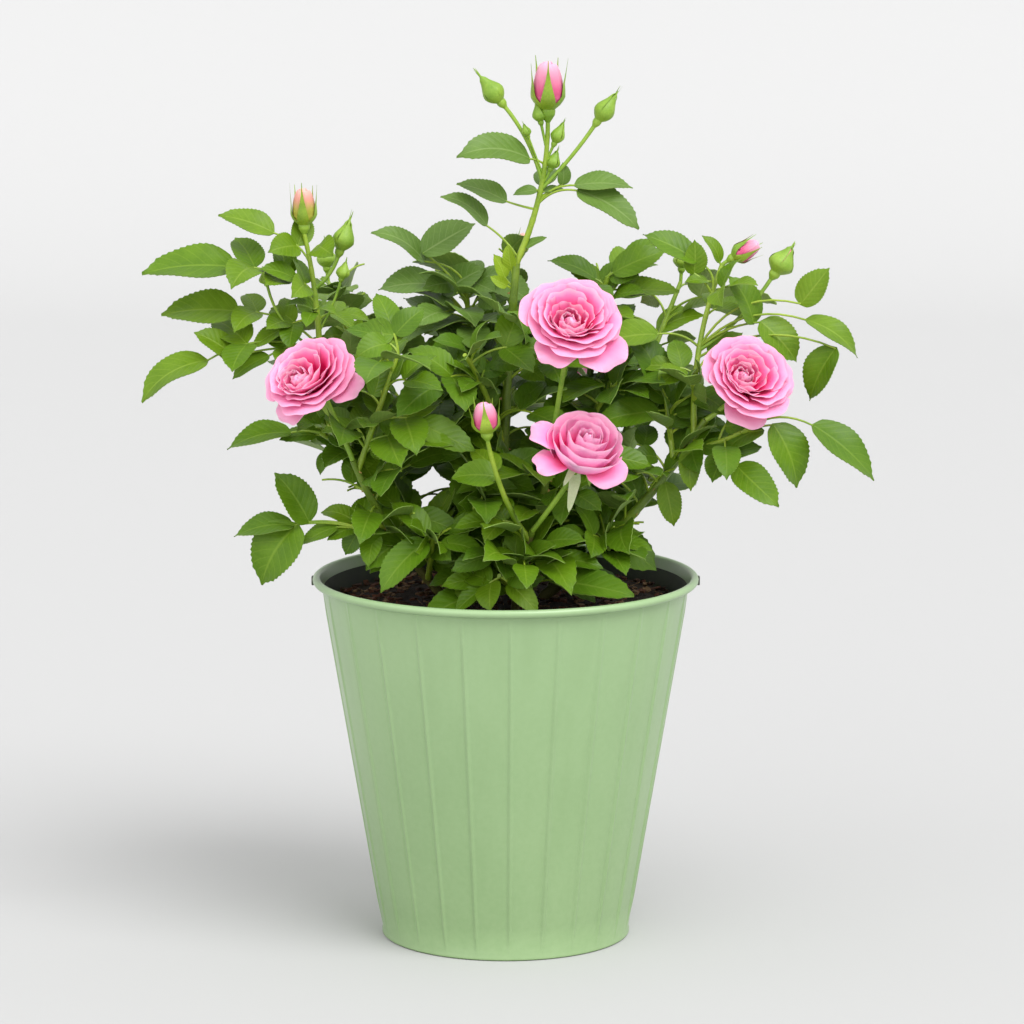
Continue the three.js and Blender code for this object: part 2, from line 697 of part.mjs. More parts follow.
// All the shoots' stems first, then their buds, then the leaves that have a place of their own,
// and last the leaves that fill.
const grownShoots = Object.entries(shoots).map(([name, plan], index) => {
  const path = arc(canePaths[plan.cane].point(plan.at), vector(plan.to), vector(plan.bend));
  const thick = Math.min(caneRadius(plan.cane, plan.at), stem.radius[0]);
  const radiusAt = (t) => thick + (stem.radius[1] - thick) * t;
  const body = seatOnCane(limb(path, stations(stem.steps), stem.sides, radiusAt), plan.cane);
  const dice = makeDice(stem.seed + stem.seedStep * index);
  return Object.assign(addNode(name, body), plan, { path, dice });
});
for (const shoot of grownShoots) {
  for (const budPlan of shoot.buds) growBud(shoot, budPlan);
}
for (const shoot of grownShoots) {
  for (const leafPlan of shoot.leaves) growLeaf(shoot, leaf.egg, leafPlan);
}
for (const [order, shoot] of grownShoots.entries()) {
  const { dice } = shoot;
  for (let index = 0; index < shoot.fill; index++) {
    const at = growth.first + ((growth.last - growth.first) * (index + 0.5)) / shoot.fill;
    const heading = order * growth.shootTurn + growth.turn * index + growth.turnSpread * (dice() - 0.5);
    const rise = growth.rise + growth.riseSpread * (2 * dice() - 1);
    const reach = growth.reach + growth.reachSpread * (2 * dice() - 1);
    const size = (growth.size + growth.sizeSpread * (2 * dice() - 1)) * (1 + (growth.tipSize - 1) * at);
    growLeaf(shoot, leaf.kite, [at, heading, rise, reach, size, growth.leaflets, growth.droop]);
  }
}

const finishes = [
  ["pot", 0xa7c593, 0.5],
  ["soil", 0x1b160b, 0.95],
  ["cane", 0x688a14, 0.6],
  ["bloom", 0xf8aed4, 0.6],
  ["shoot", 0x618926, 0.55],
];

const plant = new THREE.Group();
for (const { name, body } of nodes) {
  const { numProp, numVert, triVerts, vertProperties } = body.getMesh();
  const positions = new Float32Array(numVert * 3);
  for (let vertex = 0; vertex < numVert; vertex++) {
    positions.set(vertProperties.subarray(vertex * numProp, vertex * numProp + 3), vertex * 3);
  }
  const geometry = new THREE.BufferGeometry();
  geometry.setAttribute("position", new THREE.BufferAttribute(positions, 3));
  geometry.setIndex(new THREE.BufferAttribute(triVerts, 1));
  const [, color, roughness] = finishes.find(([start]) => name.startsWith(start));
  const mesh = new THREE.Mesh(geometry, new THREE.MeshStandardMaterial({ color, roughness, metalness: 0 }));
  mesh.name = name;
  plant.add(mesh);
}

export default plant;
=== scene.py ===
from math import asin, atan2, cos, degrees, exp, hypot, pi, radians, sin, sqrt, tan, tau

import bmesh
import bpy
import numpy as np
from mathutils import Matrix, Vector, noise


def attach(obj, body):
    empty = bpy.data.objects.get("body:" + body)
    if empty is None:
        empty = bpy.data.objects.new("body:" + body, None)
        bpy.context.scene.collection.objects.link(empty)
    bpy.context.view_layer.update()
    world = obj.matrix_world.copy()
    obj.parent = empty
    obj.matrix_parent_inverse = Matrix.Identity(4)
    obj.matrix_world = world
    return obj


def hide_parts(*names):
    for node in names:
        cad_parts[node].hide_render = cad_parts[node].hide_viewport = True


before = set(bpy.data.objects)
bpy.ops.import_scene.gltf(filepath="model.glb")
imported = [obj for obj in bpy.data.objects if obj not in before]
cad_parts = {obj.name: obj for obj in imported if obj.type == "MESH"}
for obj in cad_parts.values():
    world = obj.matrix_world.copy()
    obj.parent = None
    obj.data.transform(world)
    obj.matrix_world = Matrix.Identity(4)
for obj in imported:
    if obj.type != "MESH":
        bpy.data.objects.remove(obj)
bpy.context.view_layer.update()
mm = 0.001
print("frame loaded")

# ways and paths, in millimetres: +X right, +Y away, headings turn from +X towards +Y


def unit(v):
    return v / max(np.linalg.norm(v), 1e-9)


def direction(heading, rise):
    h, r = radians(heading), radians(rise)
    return np.array([cos(r) * cos(h), cos(r) * sin(h), sin(r)])


def turned(v, axis, angle):
    a = radians(angle)
    return v * cos(a) + np.cross(axis, v) * sin(a) + axis * np.dot(axis, v) * (1 - cos(a))


def makeDice(seed):
    state = [seed]

    def roll():
        state[0] = (state[0] * 1664525 + 1013904223) % 4294967296
        return state[0] / 4294967296

    return roll


class Arc:  # a path that stands off its straight line by bend at the middle
    def __init__(self, start, end, bend=(0, 0, 0)):
        self.start, self.end, self.bend = (np.array(v, float) for v in (start, end, bend))

    def point(self, t):
        t = np.asarray(t, float)[..., None]
        return self.start + (self.end - self.start) * t + self.bend * 4 * t * (1 - t)

    def way(self, t):
        t = np.asarray(t, float)[..., None]
        w = self.end - self.start + self.bend * (4 - 8 * t)
        return w / np.linalg.norm(w, axis=-1, keepdims=True)


# small meshes as arrays, so that thousands of copies can be joined into one piece


def toArrays(bm):
    bmesh.ops.triangulate(bm, faces=bm.faces[:])
    bm.verts.index_update()
    uvLayer = bm.loops.layers.uv.active
    co = np.array([v.co[:] for v in bm.verts])
    tri = np.array([[v.index for v in f.verts] for f in bm.faces])
    uv = np.array([[loop[uvLayer].uv[:] if uvLayer else (0, 0) for loop in f.loops] for f in bm.faces])
    slot = np.array([f.material_index for f in bm.faces])
    bm.free()
    return {"co": co, "tri": tri, "uv": uv, "slot": slot}


def between(span, t):
    return span[0] + (span[1] - span[0]) * t


def moved(part, co, slot=None):
    slot = part["slot"] if slot is None else slot
    return {**part, "co": co, "slot": np.broadcast_to(slot, len(part["tri"]))}


def addObject(name, data):
    thing = bpy.data.objects.new(name, data)
    bpy.context.scene.collection.objects.link(thing)
    return thing


def makePiece(name, parts, materials, replaced, sharp):
    counts = np.cumsum([0] + [len(p["co"]) for p in parts])
    co = np.concatenate([p["co"] for p in parts]) * mm
    tri = np.concatenate([p["tri"] + start for p, start in zip(parts, counts)])
    uv = np.concatenate([p["uv"].reshape(-1, 2) for p in parts])
    slot = np.concatenate([p["slot"] for p in parts])
    mesh = bpy.data.meshes.new(name)
    mesh.vertices.add(len(co))
    mesh.vertices.foreach_set("co", co.astype(np.float32).ravel())
    mesh.loops.add(len(tri) * 3)
    mesh.loops.foreach_set("vertex_index", tri.astype(np.int32).ravel())
    mesh.polygons.add(len(tri))
    mesh.polygons.foreach_set("loop_start", np.arange(len(tri), dtype=np.int32) * 3)
    mesh.polygons.foreach_set("material_index", slot.astype(np.int32))
    mesh.uv_layers.new(name="UVMap").data.foreach_set("uv", uv.astype(np.float32).ravel())
    mesh.update(calc_edges=True)
    mesh.shade_smooth()
    mesh.set_sharp_from_angle(angle=radians(sharp))
    for material in materials:
        mesh.materials.append(material)
    piece = addObject(name, mesh)
    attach(piece, "root")
    if replaced:
        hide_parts(*replaced)
    print(f"{name}: {len(tri)} triangles")


def faceOut(bm):
    bmesh.ops.recalc_face_normals(bm, faces=bm.faces[:])


def drawLine(bm, points):
    corners = [bm.verts.new(point) for point in points]
    return corners, [bm.edges.new(pair) for pair in zip(corners, corners[1:])]


def unitTube(sides, rings):
    bm = bmesh.new()
    bmesh.ops.create_cone(bm, cap_ends=True, cap_tris=True, segments=sides, radius1=1, radius2=1, depth=1)
    bmesh.ops.translate(bm, verts=bm.verts[:], vec=(0, 0, 0.5))
    uprights = [e for e in bm.edges if abs(e.verts[0].co.z - e.verts[1].co.z) > 0.5]
    bmesh.ops.subdivide_edges(bm, edges=uprights, cuts=rings - 1, use_grid_fill=True)
    faceOut(bm)
    uvLayer = bm.loops.layers.uv.new("UVMap")
    for face in bm.faces:
        for loop in face.loops:
            v = loop.vert.co
            loop[uvLayer].uv = (v.z, atan2(v.y, v.x) / tau + 0.5)
    return toArrays(bm)


def bentTube(tube, path, radiusAt, slot=0, flatFoot=False):
    x, y, t = tube["co"].T
    way = path.way(t)
    if flatFoot:
        way[t < 0.001] = (0, 0, 1)
    sideways = np.cross(path.way(0.0), path.way(1.0))
    if np.linalg.norm(sideways) < 0.001:
        sideways = np.array([0, 1, 0]) if abs(path.way(0.0)[2]) > 0.8 else np.array([0, 0, 1])
    first = np.cross(unit(sideways), way)
    first /= np.linalg.norm(first, axis=1, keepdims=True)
    second = np.cross(way, first)
    radius = radiusAt(t, np.arctan2(y, x))
    co = path.point(t) + first * (x * radius)[:, None] + second * (y * radius)[:, None]
    return moved(tube, co, slot)


# colours and materials


def srgb(r, g, b):
    def linear(c):
        c /= 255
        return c / 12.92 if c <= 0.04045 else ((c + 0.055) / 1.055) ** 2.4

    return (linear(r), linear(g), linear(b), 1)


def newGroup(name, inputs, outputs):
    group = bpy.data.node_groups.new(name, "ShaderNodeTree")
    for label, kind, value in inputs:
        socket = group.interface.new_socket(label, in_out="INPUT", socket_type="NodeSocket" + kind)
        socket.default_value = value
    for label, kind in outputs:
        group.interface.new_socket(label, in_out="OUTPUT", socket_type="NodeSocket" + kind)
    return group, group.nodes.new("NodeGroupInput"), group.nodes.new("NodeGroupOutput")


def addNode(tree, kind, inputs=None, **settings):
    node = tree.nodes.new("ShaderNode" + kind)
    for key, value in settings.items():
        setattr(node, key, value)
    for key, value in (inputs or {}).items():
        if isinstance(value, bpy.types.NodeSocket):
            tree.links.new(value, node.inputs[key])
        else:
            node.inputs[key].default_value = value
    return node


def mathNode(tree, operation, a, b=0.0):
    return addNode(tree, "Math", {0: a, 1: b}, operation=operation).outputs[0]


def mixColour(tree, factor, a, b):
    return addNode(tree, "Mix", {0: factor, 6: a, 7: b}, data_type="RGBA").outputs[2]


def remap(tree, value, low, high, toLow=0.0, toHigh=1.0):
    given = {"Value": value, "From Min": low, "From Max": high, "To Min": toLow, "To Max": toHigh}
    return addNode(tree, "MapRange", given).outputs[0]


def objectPlace(tree):
    return addNode(tree, "TexCoord").outputs["Object"]


def noiseNode(tree, place, scale, detail=3.0):
    return addNode(tree, "TexNoise", {"Vector": place, "Scale": scale, "Detail": detail}).outputs[0]


def splitMap(tree):  # along and across a leaflet or petal
    return addNode(tree, "SeparateXYZ", {0: addNode(tree, "UVMap", uv_map="UVMap").outputs[0]}).outputs


def driftGroup():  # a slow change between two colours over the whole plant
    black, white = (0, 0, 0, 1), (1, 1, 1, 1)
    group, given, result = newGroup(
        "colourDrift",
        [("Dark", "Color", black), ("Light", "Color", white), ("Scale", "Float", 60.0), ("Fine", "Float", 600.0)],
        [("Colour", "Color"), ("Mask", "Float")],
    )
    place = objectPlace(group)
    broad = mathNode(group, "MULTIPLY", noiseNode(group, place, given.outputs["Scale"], 2.0), 0.7)
    fine = mathNode(group, "MULTIPLY", noiseNode(group, place, given.outputs["Fine"]), 0.3)
    mask = remap(group, mathNode(group, "ADD", broad, fine), 0.35, 0.65)
    group.links.new(mask, result.inputs["Mask"])
    colour = mixColour(group, mask, given.outputs["Dark"], given.outputs["Light"])
    group.links.new(colour, result.inputs["Colour"])
    return group


def veinGroup():  # midrib, side veins and the quilting between them, along the leaflet's own map
    group, given, result = newGroup("leafVeins", [("Veins", "Float", 8.0)], [("Mask", "Float"), ("Height", "Float")])
    uv = splitMap(group)
    across = mathNode(group, "ABSOLUTE", mathNode(group, "SUBTRACT", uv[1], 0.5))
    rib = remap(group, across, 0.012, 0.04, 1.0, 0.0)
    count = mathNode(group, "MULTIPLY", uv[0], given.outputs["Veins"])
    run = mathNode(group, "SUBTRACT", count, mathNode(group, "MULTIPLY", across, 4.0))
    wave = mathNode(group, "ABSOLUTE", mathNode(group, "SUBTRACT", mathNode(group, "FRACT", run), 0.5))
    vein = remap(group, wave, 0.0, 0.09, 0.55, 0.0)
    group.links.new(mathNode(group, "MAXIMUM", rib, vein), result.inputs["Mask"])
    quilt = mathNode(group, "SUBTRACT", wave, mathNode(group, "MULTIPLY", rib, 0.6))
    group.links.new(quilt, result.inputs["Height"])
    return group


drift, veins = driftGroup(), veinGroup()


def useGroup(tree, group, **inputs):
    node = tree.nodes.new("ShaderNodeGroup")
    node.node_tree = group
    for key, value in inputs.items():
        node.inputs[key].default_value = value
    return node


def newMaterial(name, roughness, sockets=None):
    material = bpy.data.materials.new(name)
    material.use_nodes = True
    tree = material.node_tree
    shader = tree.nodes["Principled BSDF"]
    for key, value in {"Roughness": roughness, **(sockets or {})}.items():
        shader.inputs[key].default_value = value
    return material, tree, shader


def addBump(tree, shader, height, strength, distance):
    bump = addNode(tree, "Bump", {"Height": height, "Strength": strength, "Distance": distance})
    tree.links.new(bump.outputs[0], shader.inputs["Normal"])


def leafMaterial(name, dark, light, vein):
    material, tree, shader = newMaterial(name, 0.42, {"Specular IOR Level": 0.25})
    tone = useGroup(tree, drift, Dark=srgb(*dark), Light=srgb(*light), Scale=45.0, Fine=700.0)
    lines = useGroup(tree, veins)
    veined = mathNode(tree, "MULTIPLY", lines.outputs["Mask"], 0.45)
    tree.links.new(mixColour(tree, veined, tone.outputs["Colour"], srgb(*vein)), shader.inputs["Base Color"])
    tree.links.new(remap(tree, tone.outputs["Mask"], 0.0, 1.0, 0.36, 0.5), shader.inputs["Roughness"])
    addBump(tree, shader, lines.outputs["Height"], 0.35, 0.0006)
    return material


leafTones = {
    "young": ((112, 144, 16), (136, 162, 32), (160, 182, 74)),
    "bright": ((84, 116, 12), (104, 136, 22), (136, 160, 58)),
    "middle": ((74, 108, 8), (92, 126, 16), (122, 150, 46)),
    "deep": ((68, 102, 10), (84, 118, 16), (114, 142, 46)),
    "dark": ((64, 98, 12), (80, 114, 20), (106, 134, 46)),
    "under": ((108, 138, 56), (130, 156, 74), (152, 176, 92)),
    # the last tone is a duller, bluer copy of the bright one: painted sheen for the leaves at the top of the crown
    "pale": ((82, 112, 40), (99, 129, 54), (134, 155, 92)),
}
leafMaterials = [leafMaterial("leaf_" + tone, *colours) for tone, colours in leafTones.items()]
toneIndex = {tone: index for index, tone in enumerate(leafTones)}


def stemMaterial(name, dark, light, roughness=0.45, grain=900.0):
    material, tree, shader = newMaterial(name, roughness)
    tone = useGroup(tree, drift, Dark=srgb(*dark), Light=srgb(*light), Scale=55.0, Fine=grain)
    tree.links.new(tone.outputs["Colour"], shader.inputs["Base Color"])
    addBump(tree, shader, noiseNode(tree, objectPlace(tree), grain), 0.3, 0.0004)
    return material


caneGreen = stemMaterial("cane_green", (76, 102, 18), (114, 140, 38))
caneWoody = stemMaterial("cane_woody", (70, 74, 26), (112, 108, 52), 0.6, 1200.0)
twigGreen = stemMaterial("twig_green", (108, 140, 24), (154, 178, 52))
thornTan = stemMaterial("thorn_tan", (150, 110, 60), (176, 150, 84))

petalGlow = {"Subsurface Weight": 0.35, "Subsurface Scale": 0.003, "Subsurface Radius": (1, 0.85, 1)}


def petalMaterial(name, base, body, rim, low=0.4, high=0.72):
    material, tree, shader = newMaterial(name, 0.6, {**petalGlow, "Specular IOR Level": 0.25})
    cloud = noiseNode(tree, objectPlace(tree), 160.0)
    blur = mathNode(tree, "MULTIPLY", mathNode(tree, "SUBTRACT", cloud, 0.5), 0.18)
    ramp = addNode(tree, "ValToRGB", {0: mathNode(tree, "ADD", splitMap(tree)[0], blur)})
    stops = ramp.color_ramp.elements
    stops[0].position, stops[0].color = low, srgb(*base)
    stops[1].position, stops[1].color = 1.0, srgb(*rim)
    stops.new(high).color = srgb(*body)
    tree.links.new(ramp.outputs[0], shader.inputs["Base Color"])
    addBump(tree, shader, cloud, 0.12, 0.0008)
    return material


# the petals run from a deep pink root to a pale rim: the petal's own colouring, deepened at the root as painted shade
# for the crevices and lightened at the rim as a painted highlight
petalPink = petalMaterial("petal_pink", (240, 24, 108), (250, 130, 186), (250, 166, 202))
# in the heart the deep pink reaches further up the petals: painted shade for its crowded crevices
petalHeart = petalMaterial("petal_heart", (240, 30, 118), (252, 126, 184), (253, 186, 216), 0.42, 0.78)
# a lighter copy of the petal colours for the front flower: painted light on its shaded cup
petalPaintedLight = petalMaterial("petal_pale", (246, 40, 128), (255, 154, 210), (255, 188, 224), 0.4, 0.76)
budPink = petalMaterial("bud_pink", (238, 100, 146), (249, 150, 184), (250, 176, 204))
budPeach = petalMaterial("bud_peach", (190, 184, 70), (242, 160, 140), (250, 180, 170))
sepalGreen = stemMaterial("sepal_green", (104, 142, 28), (146, 178, 58), 0.5)
sepalPale = stemMaterial("sepal_pale", (176, 196, 140), (206, 216, 178), 0.55)
print("materials made")

# the canes, as in the solid model: foot on the soil, tip, bend, radius at both ends

canes = {
    "cane_centre": ((-4, 2), (7, 0, 440), (-2, 0, 0), (3.6, 2.5)),
    "cane_left_low": ((-38, -16), (-97, -50, 320), (-6, 0, 0), (3.0, 2.0)),
    "cane_left_tall": ((-26, 4), (-120, 12, 378), (-14, 0, 0), (3.4, 2.2)),
    "cane_centre_bloom": ((14, -22), (31, -50, 343), (0, 0, 0), (3.0, 1.9)),
    "cane_front": ((6, -46), (17, -70, 278), (-2, 0, -2), (2.8, 2.0)),
    "cane_right": ((24, -6), (128, -25, 342), (4, 0, -5), (3.8, 2.3)),
    "cane_right_rear": ((16, 20), (58, 40, 396), (8, 0, 0), (3.3, 2.1)),
    "cane_left_rear": ((-17, 24), (-23, 34, 391), (-8, 4, 0), (3.3, 2.1)),
    "cane_back_left": ((-32, 30), (-92, 92, 350), (-6, 8, 0), (3.2, 2.0)),
    "cane_back": ((-2, 44), (2, 112, 368), (0, 12, 0), (3.2, 2.0)),
    "cane_back_right": ((30, 32), (92, 88, 356), (6, 8, 0), (3.2, 2.0)),
}
caneForm = {
    "foot": 223.3, "sides": 18, "rings": 90, "ridges": 0.05, "lumps": 0.05, "joints": 7, "jointSwell": 0.16,
    "thorns": 9, "thornSize": (0.8, 1.2), "woody": 262,  # the height where the brown bark gives way to green
}


def caneRelief(radius, seed):
    def radiusAt(t, angle):
        ridges = caneForm["ridges"] * np.sin(angle * 5 + 3 * np.sin(t * 9 + seed)) * (1 - 0.6 * t)
        place = (t * caneForm["joints"] + 0.3 + 0.1 * seed) % 1 - 0.5
        swell = caneForm["jointSwell"] * np.exp(-((place / 0.05) ** 2))
        lumps = [noise.noise((a * 1.3, s * 24, seed)) for a, s in zip(np.cos(angle), t)]
        relief = 1 + ridges + swell + caneForm["lumps"] * np.array(lumps)
        return between(radius, t) * np.where(t < 0.001, 1, relief)

    return radiusAt


def makeThorn():
    bm = bmesh.new()
    bmesh.ops.create_cone(bm, cap_ends=False, segments=6, radius1=1, radius2=0.05, depth=3)
    bmesh.ops.translate(bm, verts=bm.verts[:], vec=(0, 0, 1.2))
    bmesh.ops.scale(bm, verts=bm.verts[:], vec=(1.5, 0.55, 1))
    for v in bm.verts:  # the point hooks down
        v.co.x -= 0.12 * max(v.co.z, 0) ** 2
    faceOut(bm)
    return toArrays(bm)


canePaths = {n: Arc((*foot, caneForm["foot"]), tip, bend) for n, (foot, tip, bend, radius) in canes.items()}
caneTube, thorn = unitTube(caneForm["sides"], caneForm["rings"]), makeThorn()
caneParts = []
for seed, (name, path) in enumerate(canePaths.items()):
    radius, roll = canes[name][3], makeDice(500 + seed)
    tube = bentTube(caneTube, path, caneRelief(radius, seed), flatFoot=True)
    height = tube["co"][tube["tri"]].mean(1)[:, 2]
    caneParts.append(moved(tube, tube["co"], np.where(height < caneForm["woody"] + 14 * np.sin(seed * 2.1), 1, 0)))
    for index in range(caneForm["thorns"]):
        t = (index + roll()) / caneForm["thorns"] * 0.9 + 0.04
        way = path.way(t)
        out = unit(np.cross(way, direction(360 * roll(), 0)))
        seat = path.point(t) + out * between(radius, t) * 0.8
        axes = np.array([way, np.cross(out, way), out])
        caneParts.append(moved(thorn, thorn["co"] * between(caneForm["thornSize"], roll()) @ axes + seat, 2))
makePiece("canes", caneParts, [caneGreen, caneWoody, thornTan], list(canes), 60)

# the leaflet: folded along its midrib, curled down at the tip, with a toothed edge

leafForm = {
    "halfWidth": (0.275, 0.35),  # of the leaflet at a leaf's tip, of those at its sides
    "tooth": 0.03,  # of the half width
    "toothLean": 0.009,  # of the length
    "fold": 0.34,
    "curl": 0.3,  # how far the midrib arches over its chord
    "wave": 0.018,
    "thick": 0.012,
    "fine": {"kinds": 10, "along": 30, "across": 4},  # the outer leaves
    "plain": {"kinds": 10, "along": 18, "across": 2},  # the hundreds inside the crown
}


def bentSheet(along, across, shape, thick):
    bm = bmesh.new()
    bm.loops.layers.uv.new("UVMap")
    bmesh.ops.create_grid(bm, x_segments=along, y_segments=across, size=0.5, calc_uvs=True)
    for v in bm.verts:
        v.co = shape(v.co.x + 0.5, v.co.y * 2)
    bmesh.ops.solidify(bm, geom=bm.faces[:], thickness=thick)
    faceOut(bm)
    return bm


def makeLeaflet(kind, along, across):
    roll = makeDice(40 + kind)
    fold, curl = leafForm["fold"] * (0.5 + roll()), leafForm["curl"] * (0.2 + 1.5 * roll())
    phase, swing = tau * roll(), 0.08 * (roll() - 0.5)
    width = leafForm["halfWidth"][kind % 2] * (0.93 + 0.14 * roll())

    def shape(u, s):
        left = max(1 - u, 0)
        half = width * max(u, 0) ** 0.5 * left**0.78 / 0.427 * min(1, left / 0.16) ** 0.6
        half = max(0.006, half)
        if abs(s) > 0.99 and 0.02 < u < 0.98:
            out = round(u * along) % 2 == 1
            half *= 1 + leafForm["tooth"] * (1 if out else -0.8)
            u += leafForm["toothLean"] * (1 if out else -0.5)
        side = s * half
        ripple = leafForm["wave"] * sin(8 * u + phase + (2.2 if s > 0 else 0)) * abs(s)
        lift = fold * abs(side) + ripple * min(1, 4 * u) + curl * (u - u**2.2)
        return u, side + swing * sin(pi * u), lift

    bm = bentSheet(along, across, shape, leafForm["thick"])
    bm.normal_update()
    for face in bm.faces:
        face.material_index = 0 if face.normal.z > 0.2 else 1
    return toArrays(bm)


leafKinds = {}
for detail in ("fine", "plain"):
    form = leafForm[detail]
    leafKinds[detail] = [makeLeaflet(kind, form["along"], form["across"]) for kind in range(form["kinds"])]
stalkTube, twigTube, shootTube = unitTube(5, 5), unitTube(7, 9), unitTube(12, 40)
print("leaflets made")

# the shoots and flowers, as in the solid model: leaves are place, heading, rise, reach, leaflet
# length, plan, droop, dip; buds are place, heading, rise, stalk, length, width, opening, lean


def newShoot(cane, at, to, bend, fill, faces, tone, leaves=(), buds=()):
    shape = {"from": (cane, at), "to": to, "bend": bend, "fill": fill, "faces": faces}
    return {**shape, "tone": tone, "leaves": leaves, "buds": buds}


def newBloom(cane, at, base, faces, radius, guards, **own):  # own: what differs from flower
    return {"from": (cane, at), "base": base, "faces": faces, "radius": radius, "guards": guards, **own}


